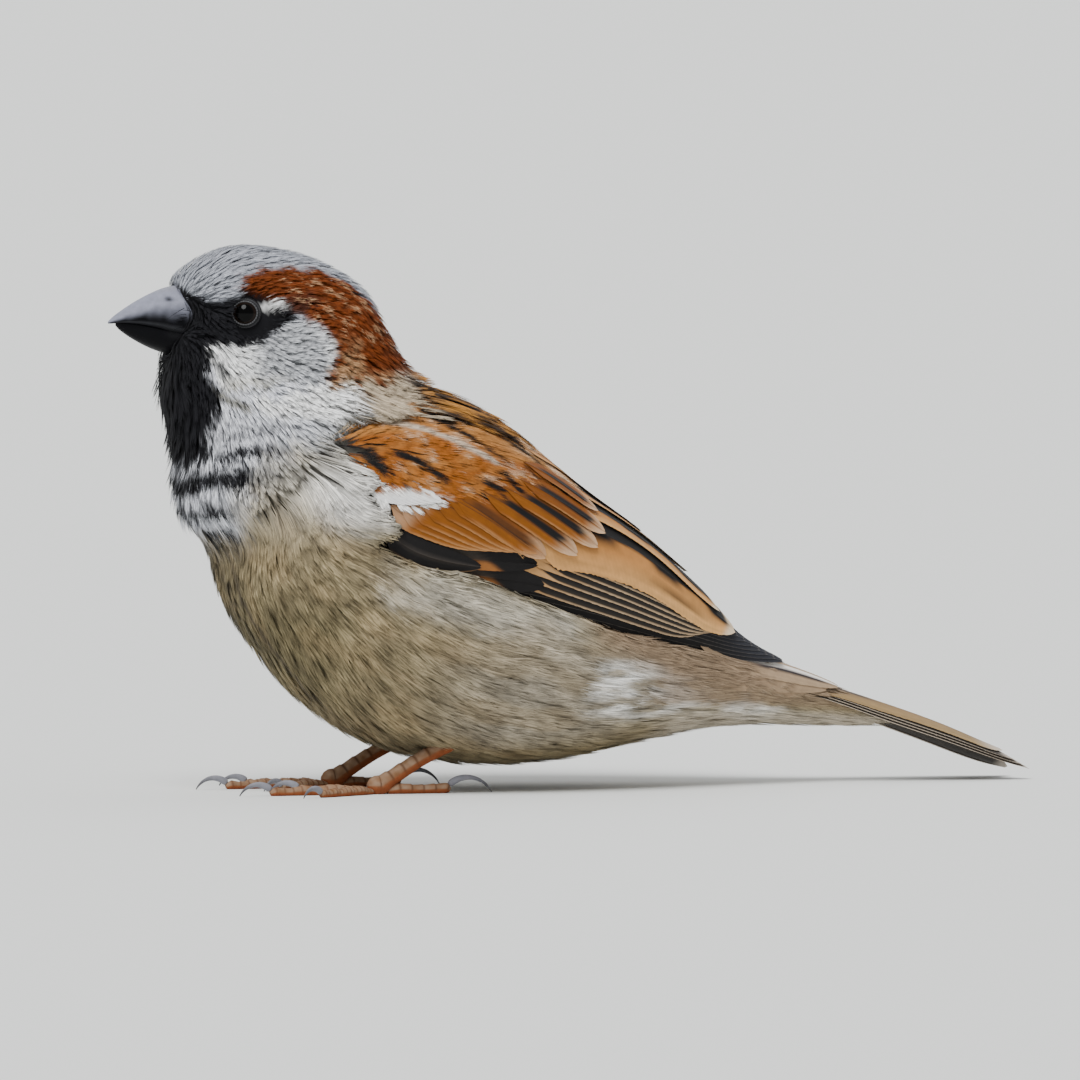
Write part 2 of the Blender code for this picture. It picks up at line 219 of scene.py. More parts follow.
def grid(rows, columns, low=0.0, high=1.0, start=0.0, stop=1.0, closed=False):
    """Two flat arrays over a grid: low to high down its rows, start to stop across its columns."""
    across = np.linspace(start, stop, columns, endpoint=not closed)
    return (part.ravel() for part in np.meshgrid(np.linspace(low, high, rows), across, indexing="ij"))


def grid_faces(rows, columns, closed=False):
    """Quads of a grid of rows by columns of points, joined round when closed."""
    index = np.arange(rows * columns).reshape(rows, columns)
    if closed:
        index = np.hstack((index, index[:, :1]))
    return np.stack((index[:-1, :-1], index[:-1, 1:], index[1:, 1:], index[1:, :-1]), -1).reshape(-1, 4)


def closed_tube(points, rows, sides, base=0):
    """A tube's points and faces, with both ends closed by a fan round an added middle point."""
    faces = (grid_faces(rows, sides, closed=True) + base).tolist()
    middles = points.reshape(rows, sides, 3)[[0, -1]].mean(axis=1)
    first, last = base + rows * sides, base + rows * sides + 1
    for i in range(sides):
        after = (i + 1) % sides
        faces.append((first, base + after, base + i))
        faces.append((last, first - sides + i, first - sides + after))
    return np.vstack((points, middles)), faces


# ---------------------------------------------------------------- materials


def point_coloured(name, grain, detail, tones, sockets):
    """A material in the colours that the points carry, varied by a fine grain. Also gives the grain."""
    material = bpy.data.materials.new(name)
    material.use_nodes = True
    nodes, links = material.node_tree.nodes, material.node_tree.links
    shader = nodes["Principled BSDF"]
    for socket, value in sockets.items():
        shader.inputs[socket].default_value = value
    colour = nodes.new("ShaderNodeVertexColor")
    colour.layer_name = "plumage"
    place = nodes.new("ShaderNodeTexCoord")
    noise = nodes.new("ShaderNodeTexNoise")
    noise.inputs["Scale"].default_value = grain
    noise.inputs["Detail"].default_value = detail
    links.new(place.outputs["Object"], noise.inputs["Vector"])
    scaled = nodes.new("ShaderNodeVectorMath")
    scaled.operation = "SCALE"
    links.new(colour.outputs["Color"], scaled.inputs[0])
    links.new(grain_range(material, noise, *tones), scaled.inputs["Scale"])
    links.new(scaled.outputs["Vector"], shader.inputs["Base Color"])
    return material, noise


def grain_range(material, noise, low, high):
    """The grain's value brought between low and high."""
    spread = material.node_tree.nodes.new("ShaderNodeMapRange")
    spread.inputs["To Min"].default_value = low
    spread.inputs["To Max"].default_value = high
    material.node_tree.links.new(noise.outputs["Fac"], spread.inputs["Value"])
    return spread.outputs["Result"]


def feather_material(name, roughness, sheen, specular=0.15):
    """Feather vanes and barbs: colour from the plumage, with finer streaks of their own."""
    return point_coloured(name, 900.0, 3.0, (0.82, 1.18), {
        "Roughness": roughness, "Specular IOR Level": specular, "Sheen Weight": sheen, "Sheen Roughness": 0.4,
    })[0]


def horn_material(name, roughness):
    """Bill, claws and leg scales, with a faint grain in their gloss and relief."""
    sockets = {"Coat Weight": 0.0, "Coat Roughness": 0.35, "Specular IOR Level": 0.06}
    material, noise = point_coloured(name, 1400.0, 4.0, (0.75, 1.25), sockets)
    nodes, links = material.node_tree.nodes, material.node_tree.links
    shader = nodes["Principled BSDF"]
    links.new(grain_range(material, noise, roughness - 0.12, roughness + 0.12), shader.inputs["Roughness"])
    bump = nodes.new("ShaderNodeBump")
    bump.inputs["Strength"].default_value = 0.12
    bump.inputs["Distance"].default_value = 0.0001
    links.new(noise.outputs["Fac"], bump.inputs["Height"])
    links.new(bump.outputs["Normal"], shader.inputs["Normal"])
    return material


def eye_material():
    """A wet dark eye under a clear gloss, with fine flecks in the iris."""
    sockets = {"Roughness": 0.06, "Specular IOR Level": 0.1}
    return point_coloured("wet_eye", 2500.0, 2.0, (0.6, 1.4), sockets)[0]


COAT = feather_material("soft_feathers", 0.8, 0.04)
VANE = feather_material("smooth_vanes", 0.6, 0.03)
SKIN_FINISH = feather_material("skin_under_coat", 0.85, 0.0)
HORN = horn_material("polished_horn", 0.45)
LEG_SKIN = horn_material("leg_scutes", 0.62)


# ---------------------------------------------------------------- the plumage's colours

GREY_CROWN = (0.36, 0.375, 0.415)
CHESTNUT = (0.132, 0.028, 0.004)
BLACK = (0.008, 0.008, 0.010)
WHITE = (0.87, 0.87, 0.86)
BREAST_GREY = (0.40, 0.375, 0.32)
# The belly's buff is partly its own colour and partly painted shade of the underside.
BELLY_BUFF = (0.255, 0.205, 0.118)
FLANK_BROWN = (0.21, 0.145, 0.08)
NAPE_BUFF = (0.42, 0.34, 0.24)
MANTLE = (0.40, 0.175, 0.032)
MANTLE_PALE = (0.60, 0.39, 0.17)
RUMP = (0.28, 0.20, 0.13)


def polygon_side(corners, y, z):
    """How far inside a smooth outline in side view the places lie, in millimetres."""
    steps = 8
    loop = np.array(list(corners) + list(corners)[:3], float)
    at = np.linspace(1, len(corners) + 1, len(corners) * steps + 1)[:-1]
    outline = curve_through(loop, at)
    ends = np.roll(outline, -1, 0)
    point = np.stack((y, z), -1)
    nearest = np.full(len(point), 1e9)
    inside = np.zeros(len(point), bool)
    for (ay, az), (by, bz) in zip(outline, ends):
        edge = np.array((by - ay, bz - az))
        reach = np.clip(((point - (ay, az)) @ edge) / max(edge @ edge, 1e-9), 0, 1)
        gap = np.linalg.norm(point - (ay, az) - reach[:, None] * edge, axis=1)
        nearest = np.minimum(nearest, gap)
        crosses = (az > point[:, 1]) != (bz > point[:, 1])
        with np.errstate(divide="ignore", invalid="ignore"):
            meet = ay + (point[:, 1] - az) / (bz - az) * (by - ay)
        inside ^= crosses & (point[:, 0] < meet)
    return np.where(inside, nearest, -nearest)


CHESTNUT_PATCH = (
    (-29.9, 66.0), (-29.0, 67.8), (-26.8, 68.6), (-21.8, 68.9), (-16.9, 68.2), (-13.0, 66.2), (-9.5, 62.0),
    (-8.0, 56.0), (-11.0, 53.8), (-15.2, 54.2), (-19.6, 53.6), (-18.4, 56.0), (-17.8, 58.4), (-19.4, 60.6),
    (-21.0, 62.2), (-25.0, 63.0), (-27.4, 64.4),
)
CHEEK_PATCH = (
    (-33.4, 58.9), (-30.5, 58.9), (-27.6, 59.2), (-25.7, 60.7), (-23.3, 62.2), (-21.0, 62.2), (-19.6, 60.2),
    (-17.6, 58.2), (-18.6, 56.1), (-20.8, 54.2), (-26.1, 53.9), (-31.3, 53.0), (-33.3, 53.2), (-34.2, 55.4),
    (-35.4, 57.8),
)
NECK_PATCH = (
    (-29.2, 51.6), (-25.0, 52.2), (-21.6, 53.5), (-17.0, 53.9), (-14.8, 51.4), (-17.6, 48.8), (-24.2, 49.4),
    (-28.6, 49.8),
)
MASK_PATCH = (
    (-38.2, 66.2), (-36.4, 65.4), (-34.5, 64.7), (-31.8, 64.9), (-29.4, 65.9), (-26.8, 65.4), (-25.0, 64.0),
    (-22.6, 63.0), (-23.3, 62.2), (-25.9, 60.8), (-27.8, 59.2), (-30.8, 58.7), (-33.4, 58.7), (-35.8, 57.6),
    (-38.4, 57.6), (-39.6, 60.0),
)
BROW_SPOT = ((-27.9, 64.3), (-26.4, 65.1), (-24.7, 64.9), (-24.6, 64.1), (-26.4, 63.7))
# Half width of the black bib at heights from the throat to the chin.
BIB_Z = (42.6, 43.8, 45.4, 47.5, 49.5, 52.0, 54.5, 57.0, 60.0)
BIB_WIDTH = (0.0, 5.2, 7.8, 8.8, 9.1, 9.4, 9.15, 9.1, 7.8)
# Rows of black below it: height at the midline, rise per mm to the side, half height, from, to, strength. The
# first row is painted shadow, a thin dark line under a row of throat feathers.
BIB_ROWS = (
    (42.8, 0.42, 0.45, 9.5, 14.5, 0.7), (42.8, 0.18, 0.75, 0.0, 13.0, 1.0), (39.6, 0.17, 1.3, 0.0, 11.8, 1.0),
    (36.4, 0.10, 0.9, 0.0, 9.0, 1.0), (33.6, 0.0, 0.9, 1.5, 8.0, 1.0), (31.2, 0.0, 0.7, 1.5, 6.5, 1.0),
)
# Black streaks of the mantle in side view, and their breadth.
MANTLE_STREAKS = (
    (((1.0, 49.0), (5.7, 45.6), (9.4, 42.2), (12.7, 39.4)), 1.5),
    (((-9.0, 54.2), (-3.6, 52.6), (1.0, 51.0)), 0.9),
    (((1.0, 51.0), (3.4, 49.3)), 1.1), (((-2.6, 48.2), (2.5, 44.3)), 1.0),
    (((-5.2, 49.7), (-2.0, 48.9)), 2.0), (((-5.2, 51.3), (-2.2, 50.4)), 0.6),
    (((-8.0, 51.8), (-8.2, 49.4)), 0.8), (((7.0, 47.2), (12.0, 42.6)), 0.6),
)
# Other marks in side view: the pale strip along the wing, the painted shade along the cheek's lower edge and
# in the crease below it, and so on.
WING_STRIP = ((-13.0, 27.5), (-4.0, 25.0), (8.0, 21.5))
VENT_STRIP = ((37.5, 10.3), (42.5, 10.0))
CHEEK_EDGE_SHADE = ((-31.5, 53.0), (-25.0, 53.2))
CHEEK_CREASE_SHADOW = ((-34.0, 52.4), (-30.4, 50.4))
EYE_STRIPE = ((-25.6, 63.6), (-21.0, 64.6))


def gap_to_path(path, u, v, u_scale=1.0, v_scale=1.0):
    """Distance from places to a line through a few points. The scales make millimetres of its units."""
    nearest = np.full(len(u), 1e9)
    for (u0, v0), (u1, v1) in zip(path, path[1:]):
        du, dv = (u1 - u0) * u_scale, (v1 - v0) * v_scale
        pu, pv = (u - u0) * u_scale, (v - v0) * v_scale
        t = np.clip((pu * du + pv * dv) / (du * du + dv * dv), 0, 1)
        nearest = np.minimum(nearest, np.hypot(pu - t * du, pv - t * dv))
    return nearest


def wobble(points, size, seed):
    """A smooth noise from -1 to 1 over the body, made of a few waves."""
    waves = np.random.default_rng(seed)
    total = np.zeros(len(points))
    for _ in range(10):
        direction = unit(waves.normal(size=3)) * (2 * math.pi / size) * waves.uniform(0.6, 1.6)
        total += np.sin(points @ direction + waves.uniform(0, 2 * math.pi))
    return total / 3.2


class Places:
    """Places on the coat and what its marks are worked out from."""

    def __init__(self, points, angle):
        self.points = points
        self.y, self.z = points[:, 1], points[:, 2]
        self.wide = np.abs(points[:, 0])
        self.back = np.cos(angle)
        self.jitter = wobble(points, 3.0, 3) * 0.35 + wobble(points, 1.2, 4) * 0.25

    def near(self, path):
        return gap_to_path(path, self.y, self.z)

    def inside(self, patch):
        return polygon_side(patch, self.y, self.z)

    def noise(self, stretch, size, seed):
        return wobble(self.points * stretch, size, seed)


def underside(at):
    """Breast to flank: greyer in front, browner and streaked towards the flank, shaded below."""
    y, z, wide, jitter = at.y, at.z, at.wide, at.jitter
    main = np.tile(BELLY_BUFF, (len(y), 1))
    main = blend(main, BREAST_GREY, smooth(31, 43, z + 0.5 * jitter))
    streak = smooth(0.1, 0.9, at.noise((1.6, 0.5, 1.2), 4.0, 11))
    flank = smooth(-14, 4, y) * smooth(8, 15, wide) * (1 - smooth(16, 26, z))
    main = blend(main, FLANK_BROWN, 0.25 * streak * (1 - flank))
    main = blend(main, (0.36, 0.33, 0.29), 0.5 * flank)
    # Painted shade: the low front of the belly darker and more olive, where shadow falls below the breast.
    main = blend(main, (0.145, 0.12, 0.062), 0.75 * smooth(33, 20, z) * smooth(-14, -24, y))
    strip = smooth(5.0, 0.8, at.near(WING_STRIP) + 2.0 * jitter) * (wide > 10)
    main = blend(main, (0.58, 0.54, 0.46), 0.65 * strip)
    locks = wobble(np.stack((0.8 * at.points[:, 0], 0.30 * y - 0.25 * z, 1.0 * y + 1.2 * z), -1), 3.6, 57)
    main = main * (1 + 0.30 * np.clip(locks, -1, 1))[:, None]
    warm = smooth(0.2, 0.9, at.noise((1, 0.6, 0.8), 6.0, 58)) * smooth(36, 31, z)
    main = blend(main, (0.34, 0.25, 0.13), 0.3 * warm)
    # Painted shadow: a dark line along the fold on each side of the lower breast's midline.
    fold_shadow = smooth(0.9, 0.1, np.abs(wide - 4.2 + 0.4 * jitter)) * smooth(34, 27, z) * smooth(-12, -22, y)
    main = blend(main, (0.05, 0.04, 0.03), 0.75 * fold_shadow)
    shoulder = smooth(8.0, 2.0, np.hypot(y + 19.0, 1.2 * (z - 39.5))) * (wide > 10)
    return blend(main, (0.66, 0.64, 0.60), shoulder)


def rear(main, at):
    """The side behind the legs, and the coverts of the tail."""
    y, z, jitter = at.y, at.z, at.jitter
    pale = smooth(13.5, 17, y + 3 * jitter) * (1 - smooth(29, 35, y + 3 * jitter)) * smooth(8.5, 11.5, z)
    pale = pale * (1 - smooth(15, 18.5, z - 0.1 * (y - 15) + jitter))
    pale = np.maximum(pale, 0.9 * smooth(2.6, 0.8, at.near(VENT_STRIP) + jitter))
    pale = pale * smooth(-0.7, 0.1, at.noise((1.0, 0.5, 1.9), 3.0, 51))
    main = blend(main, (0.95, 0.94, 0.90), 0.95 * pale)
    rump = smooth(20, 27, y) * smooth(10.6, 12.5, z + 0.05 * (y - 20))
    main = blend(main, RUMP, 0.85 * rump)
    under = smooth(22, 30, y) * (1 - smooth(10.0, 11.6, z + 0.05 * (y - 20)))
    return blend(main, (0.50, 0.44, 0.35), 0.8 * under)


def back_and_neck(main, at):
    """The mantle with its streaks, the nape, and the lilac and white of the neck."""
    y, z, wide, back, jitter = at.y, at.z, at.wide, at.back, at.jitter
    upper = smooth(0.25, 0.45, back) * smooth(7.0, 8.4, y + 0.9 * (z - 52) + 14)
    on_mantle = upper * smooth(-9, -4, y) * (1 - smooth(10, 18, y))
    main = blend(main, MANTLE, on_mantle)
    main = blend(main, RUMP, smooth(0.0, 0.3, back) * smooth(11, 17, y))
    main = blend(main, MANTLE_PALE, 0.8 * on_mantle * smooth(3.2, 1.6, wide + jitter) * smooth(-2, 3, y))
    for path, breadth in MANTLE_STREAKS:
        inside = smooth(0.25, -0.25, at.near(path) + 0.5 * jitter - breadth / 2)
        main = blend(main, BLACK, 0.95 * inside * (back > 0.3))
    nape = smooth(-22, -14, y) * smooth(46, 50, z) * smooth(0.0, 0.2, back + 0.1)
    main = blend(main, NAPE_BUFF, nape * (1 - upper))
    main = blend(main, (0.50, 0.51, 0.53), smooth(45, 48, z) * (1 - smooth(-20, -16, y)))
    lilac = smooth(13.6, 10.2, wide + 0.42 * (43 - z) + jitter) * smooth(31, 35, z) * (y < -22)
    main = blend(main, (0.62, 0.63, 0.67), lilac)
    return blend(main, WHITE, smooth(-0.4, 0.5, at.inside(NECK_PATCH) + jitter) * (wide > 4))


def head(main, at, chestnut):
    """Grey crown, chestnut side, pale cheek, black mask and the white spot behind the eye."""
    y, z, wide, jitter = at.y, at.z, at.wide, at.jitter
    main = blend(main, GREY_CROWN, smooth(61, 63, z) * (y < -8))
    side = wide > 3.2
    cheek = blend(np.tile((0.44, 0.45, 0.47), (len(y), 1)), WHITE, smooth(-26.5, -31.0, y + 0.4 * jitter))
    cheek = blend(cheek, (0.76, 0.77, 0.78), smooth(-20.5, -18.8, y + 0.3 * (z - 58) + jitter))
    # Painted shade: the cheek darker and olive along its lower edge, beside the crease.
    cheek = blend(cheek, (0.46, 0.44, 0.36), 0.6 * smooth(2.2, 0.6, at.near(CHEEK_EDGE_SHADE)))
    main = blend(main, cheek, smooth(-0.4, 0.4, at.inside(CHEEK_PATCH) + jitter) * side)
    # Painted shadow: a dark olive line in the crease below the cheek.
    crease_shadow = smooth(0.9, 0.2, at.near(CHEEK_CREASE_SHADOW) + 0.3 * jitter)
    main = blend(main, (0.10, 0.09, 0.05), 0.8 * crease_shadow * side)
    tan = smooth(60.5, 56.5, z + 0.6 * jitter) * smooth(0.3, 0.8, at.noise((1, 1, 2), 2.6, 53) + 0.9)
    ear = blend(np.tile(CHESTNUT, (len(y), 1)), (0.40, 0.24, 0.12), 0.75 * tan)
    main = blend(main, ear, smooth(-0.5, 0.5, chestnut))
    nape = smooth(54, 56, z) * (1 - smooth(62, 64, z)) * (y > -14) * smooth(-0.4, 0.6, at.back)
    main = blend(main, CHESTNUT, nape)
    main = blend(main, BLACK, 0.6 * smooth(1.8, 0.4, at.near(EYE_STRIPE) + 0.4 * jitter) * side)
    mask = smooth(-0.3, 0.3, at.inside(MASK_PATCH) + 0.5 * jitter)
    main = blend(main, BLACK, mask * (wide > 0.8 + 0.5 * (z > 64)))
    return blend(main, WHITE, smooth(-0.2, 0.3, at.inside(BROW_SPOT) + 0.3 * jitter) * side)


def plumage(points, rung, angle):
    """The marks of the coat at places on it: main colour, fringe colour, fringe width, barb contrast."""
    at = Places(points, angle)
    y, z, wide, jitter = at.y, at.z, at.wide, at.jitter
    chestnut = at.inside(CHESTNUT_PATCH) + jitter - 3.0 * smooth(6.5, 3.0, wide) * (z > 62)
    main = head(back_and_neck(rear(underside(at), at), at), at, chestnut)
    # Bib: solid on the throat, then rows of black between pale tips on the breast, the first row a painted
    # shadow line at the side.
    in_front = (y < -26) & (at.back < 0.5)
    bib = smooth(-0.4, 0.5, np.interp(z, BIB_Z, BIB_WIDTH) + 1.1 * jitter - wide) * in_front * (z < 61)
    main = blend(main, BLACK, bib)
    broken = smooth(-0.7, -0.3, wobble(points, 3.2, 47))
    for height, rise, half, start, stop, strength in BIB_ROWS:
        row = smooth(0.2, -0.2, np.abs(z - height - rise * wide + 0.6 * jitter) - half)
        reach = smooth(start - 1.0, start + 0.2, wide) * smooth(stop + 1.5, stop - 1.5, wide + jitter)
        main = blend(main, BLACK, row * reach * strength * in_front * (broken if height < 38 else 1))
    rufous = (chestnut > 0.3) & (z > 58) & (y > -24)
    fringe = blend(main, (0.50, 0.30, 0.16), rufous * 0.85)
    width = np.where(rufous, 0.14 * smooth(0.55, 0.85, at.noise((1, 1, 2), 3.0, 41)), 0)
    contrast = np.where(bib > 0.5, 0.3, 0.68) * np.where(z > 62, 1.05, 1.0)
    contrast = contrast + 0.2 * smooth(33, 38, z) * (1 - smooth(51, 53, z)) * (bib < 0.5) * (y < -20)
    return main, fringe, width, contrast


# ---------------------------------------------------------------- the skin

SKIN_ROWS, SKIN_COLUMNS = 150, 128
SKIN_SHADE = 0.72  # the skin is darker than the coat over it


def body_depth(rung):
    """Depth of the coat at places along the body."""
    return np.interp(rung, np.arange(LAST_RUNG + 1), COAT_DEPTH)


def make_skin():
    """One closed skin over head, body, tail coverts and thighs, inside them by the coat's depth."""
    rung, angle = grid(SKIN_ROWS, SKIN_COLUMNS, 0, LAST_RUNG, -math.pi, math.pi, closed=True)
    outer = body_surface(rung, angle)
    points = outer - body_directions(rung, angle)[2] * body_depth(rung)[:, None]
    points, faces = closed_tube(points, SKIN_ROWS, SKIN_COLUMNS)
    outer = np.vstack((outer, points[-2:]))
    colours = plumage(outer, np.append(rung, (0, LAST_RUNG)), np.append(angle, (0, 0)))[0]
    new_piece(
        "skin", points, faces, colours * SKIN_SHADE, SKIN_FINISH, "body_plumage",
        ("head", "neck", "trunk", "tail_coverts", "thigh_left", "thigh_right"),
    )


# ---------------------------------------------------------------- small feathers

BARB_SHARE = 0.30  # a barb's breadth as a share of the feather's length over its number of barbs


def feather_pattern(name, length, width, barbs, sweep, seed):
    """A loose feather lying flat: root at the origin, tip along +Y, made of hair-fine barbs.

    Its points carry "vane": how far along the feather, how far to the side and how far out
    on the barb they are. They also carry "shade", which differs from barb to barb.
    """
    draw = np.random.default_rng(seed)
    points, faces, vane, shade = [], [], [], []
    for side in (-1, 1):
        for start in np.linspace(0.0, 0.80, barbs):
            sweep_out = sweep * (1.25 - 0.5 * start) * draw.uniform(0.75, 1.2)
            end = min(start + sweep_out, 1.0 + 0.07 * draw.normal())
            spread = math.sin(math.pi * min(max(end * 0.92, 0.05), 0.95)) ** 0.6
            reach = width / 2 * spread * draw.uniform(0.15, 1.1)
            broad = BARB_SHARE * length / barbs * draw.uniform(0.6, 1.3)
            lift, tone = draw.uniform(-0.05, 0.07), draw.uniform(0, 1)
            base = len(points)
            for t, taper in ((0.0, 0.9), (0.5, 1.0), (1.0, 0.0)):
                x = side * reach * math.sin(math.pi / 2 * t**0.7)
                y = length * (start + (end - start) * t)
                heading = unit(np.array((side * reach * (1.1 - t), length * (end - start))))
                across = np.array((heading[1], -heading[0])) * broad * taper / 2
                for sign in (-1, 1) if taper else (0,):
                    points.append((x + sign * across[0], y + sign * across[1], lift * t - 0.05 * abs(x)))
                    vane.append((y / length, x / (width / 2), t))
                    shade.append(tone)
            faces += [(base, base + 1, base + 3, base + 2), (base + 2, base + 3, base + 4)]
    mesh = bpy.data.meshes.new(name)
    mesh.from_pydata(points, [], faces)
    if mesh.polygons[0].normal.z < 0:
        mesh.flip_normals()
    mesh.shade_smooth()
    store_values(mesh, "vane", vane)
    store_values(mesh, "shade", shade)
    return bpy.data.objects.new(name, mesh)


def store_values(mesh, name, values):
    """Stores a number or a vector for each point under a name."""
    values = np.asarray(values, np.float32)
    kind, key = ("FLOAT_VECTOR", "vector") if values.ndim == 2 else ("FLOAT", "value")
    mesh.attributes.new(name, kind, "POINT").data.foreach_set(key, values.ravel())


def read_values(mesh, name, width=1):
    """The numbers, or the vectors when width is 3, stored under a name."""
    layer = mesh.attributes[name]
    values = np.empty(len(mesh.vertices) * width, np.int32 if layer.data_type == "INT" else np.float32)
    layer.data.foreach_get("vector" if width == 3 else "value", values)
    return values.reshape(-1, 3).astype(float) if width == 3 else values


def feather_set(name, length, width, barbs, sweep, kinds=5):
    """A collection of like feathers, each a little different."""
    group = bpy.data.collections.new(name)
    for kind in range(kinds):
        group.objects.link(feather_pattern(f"{name}_{kind}", length, width, barbs, sweep, 40 + kind))
    return group


class Tree:
    """A Geometry Nodes tree with short calls for adding its inputs and nodes."""

    def __init__(self, name, **inputs):
        self.tree = bpy.data.node_groups.new(name, "GeometryNodeTree")
        self.ids = {}
        for key, kind in inputs.items():
            socket = self.tree.interface.new_socket(key, in_out="INPUT", socket_type="NodeSocket" + kind)
            self.ids[key] = socket.identifier
        self.tree.interface.new_socket("Made", in_out="OUTPUT", socket_type="NodeSocketGeometry")
        self.given = self.node("NodeGroupInput").outputs

    def node(self, kind, sources=(), **settings):
        """Adds a node. sources gives its inputs, each by name or number, a socket or a fixed value."""
        made = self.tree.nodes.new(kind)
        for key, value in settings.items():
            setattr(made, key, value)
        for key, source in dict(sources).items():
            if isinstance(source, bpy.types.NodeSocket):
                self.tree.links.new(source, made.inputs[key])
            else:
                made.inputs[key].default_value = source
        return made

    def calculate(self, operation, first, second, kind="ShaderNodeMath"):
        return self.node(kind, {0: first, 1: second}, operation=operation).outputs[0]

    def stored(self, name):
        made = self.node("GeometryNodeInputNamedAttribute", {"Name": name}, data_type="FLOAT")
        return made.outputs["Attribute"]

    def random(self, kind, low, high, seed_step):
        """A random number whose seed follows the tree's Seed input."""
        made = self.node("FunctionNodeRandomValue", data_type=kind)
        for socket, value in zip([s for s in made.inputs if s.enabled], (low, high)):
            socket.default_value = value
        seed = self.calculate("ADD", self.given["Seed"], seed_step, "FunctionNodeIntegerMath")
        self.tree.links.new(seed, made.inputs["Seed"])
        return next(s for s in made.outputs if s.enabled)

    def keep(self, geometry, name, kind, value):
        """Stores a value for each point under a name."""
        sources = {"Geometry": geometry, "Name": name, "Value": value}
        made = self.node("GeometryNodeStoreNamedAttribute", sources, data_type=kind, domain="POINT")
        return made.outputs[0]

    def finish(self, instances):
        """Makes the instances real, with the Finish material, and ends the tree."""
        real = self.node("GeometryNodeRealizeInstances", {"Geometry": instances}).outputs[0]
        sources = {"Geometry": real, "Material": self.given["Finish"]}
        made = self.node("GeometryNodeSetMaterial", sources).outputs[0]
        self.node("NodeGroupOutput", {"Made": made})
        return self


def coat_tree():
    """Grows feathers on a bed: even random roots, one feather of the set on each, laid at the origin."""
    tree = Tree(
        "feather_coat", Bed="Geometry", Feathers="Collection", Spacing="Float", Splay="Float", Seed="Int",
        Finish="Material",
    )
    given = tree.given
    scatter = tree.node("GeometryNodeDistributePointsOnFaces", {
        "Density Max": 20.0, "Mesh": given["Bed"], "Distance Min": given["Spacing"], "Seed": given["Seed"],
        "Density Factor": tree.stored("cover"),
    }, distribute_method="POISSON")
    roots = tree.keep(scatter.outputs["Points"], "tone", "FLOAT", tree.random("FLOAT", 0.0, 1.0, 1))
    origin = tree.node("ShaderNodeCombineXYZ").outputs[0]
    gathered = tree.node("GeometryNodeSetPosition", {"Geometry": roots, "Position": origin}).outputs[0]
    kinds = tree.node("GeometryNodeCollectionInfo", {
        "Collection": given["Feathers"], "Separate Children": True, "Reset Children": True,
    }).outputs[0]
    turn = tree.calculate("MULTIPLY", tree.random("FLOAT", -1.0, 1.0, 3), given["Splay"])
    turn = tree.calculate("ADD", turn, tree.stored("lean"))
    place = tree.node("GeometryNodeInstanceOnPoints", {
        "Points": gathered, "Instance": kinds, "Pick Instance": True,
        "Instance Index": tree.random("INT", 0, 999, 2),
        "Rotation": tree.node("ShaderNodeCombineXYZ", {"Z": turn}).outputs[0],
        "Scale": tree.calculate("MULTIPLY", tree.stored("size"), tree.random("FLOAT", 0.84, 1.12, 4)),
    })
    return tree.finish(place.outputs[0])


def grown(bed, tree, **inputs):
    """The plain mesh that a tree makes on a bed. The bed is removed."""
    modifier = bed.modifiers.new("grow", "NODES")
    modifier.node_group = tree.tree
    for name, value in inputs.items():
        modifier[tree.ids[name]] = value
    bpy.context.scene.collection.objects.link(bed)
    graph = bpy.context.evaluated_depsgraph_get()
    mesh = bpy.data.meshes.new_from_object(bed.evaluated_get(graph))
    bpy.data.objects.remove(bed)
    return mesh


def read_points(mesh):
    points = np.empty(len(mesh.vertices) * 3, np.float32)
    mesh.vertices.foreach_get("co", points)
    return points.reshape(-1, 3).astype(float)


def lay_on_body(rung, angle, across, along, height):
    """Where a point goes that is so many millimetres across, along and above its root on the body."""
    step, turn, _ = body_directions(rung, angle)
    new_rung = rung + along / np.linalg.norm(step, axis=1)
    middle = np.clip((rung + new_rung) / 2, 0, LAST_RUNG)
    step, turn, _ = body_directions(middle, angle)
    new_rung = rung + along / np.linalg.norm(step, axis=1)
    inside = np.clip(new_rung, 0, LAST_RUNG)
    new_angle = angle + across / np.maximum(np.linalg.norm(turn, axis=1), 1.0)
    step, turn, normal = body_directions(inside, new_angle)
    past = (new_rung - inside)[:, None] * step
    return body_surface(inside, new_angle) + past + normal * height[:, None], inside, new_angle


def eye_gap(points):
    """Distance from the nearer eye's centre line, in side view."""
    return np.linalg.norm((points - EYE_CENTRE)[:, 1:], axis=1) + 20.0 * (np.abs(points[:, 0]) < 4)


def bed_mesh(name, points, faces, **values):
    """A patch that feathers grow on, with where each place is and how the feathers grow there."""
    mesh = bpy.data.meshes.new(name)
    mesh.from_pydata(points.tolist(), [], faces.tolist())
    for key, value in values.items():
        store_values(mesh, key, value)
    return bpy.data.objects.new(name, mesh)


def body_bed(name, rungs, angles, size=None, thin=None):
    """The belt of skin that one piece of the coat grows on, both sides."""
    rows, columns = max(6, int((rungs[1] - rungs[0]) * 9)), 97
    low, high = angles
    spans = [(-high, -low), (low, high)] if low > 0 else [(-high, high)]
    rung, angle = np.hstack([list(grid(rows, columns, *rungs, *span)) for span in spans])
    faces = [grid_faces(rows, columns) + rows * columns * i for i in range(len(spans))]
    points = body_surface(rung, angle)
    near_eye = eye_gap(points)
    cover = 1.0 * (near_eye > 2.5)
    if thin is not None:
        cover *= thin(points)
    scale = np.ones(len(points)) if size is None else size(rung)
    scale = scale * np.clip(0.28 + (near_eye - 2.4) * 0.35, 0.25, 1.0)
    lean = flow_lean(points, rung, angle) + 0.6 * lean_round_eye(points)
    lean = lean + 0.12 * wobble(points, 9.0, 21) * (points[:, 2] < 50)
    faces = np.vstack(faces)
    return bed_mesh(name, points, faces, rung=rung, angle=angle, cover=cover, size=scale, lean=lean)


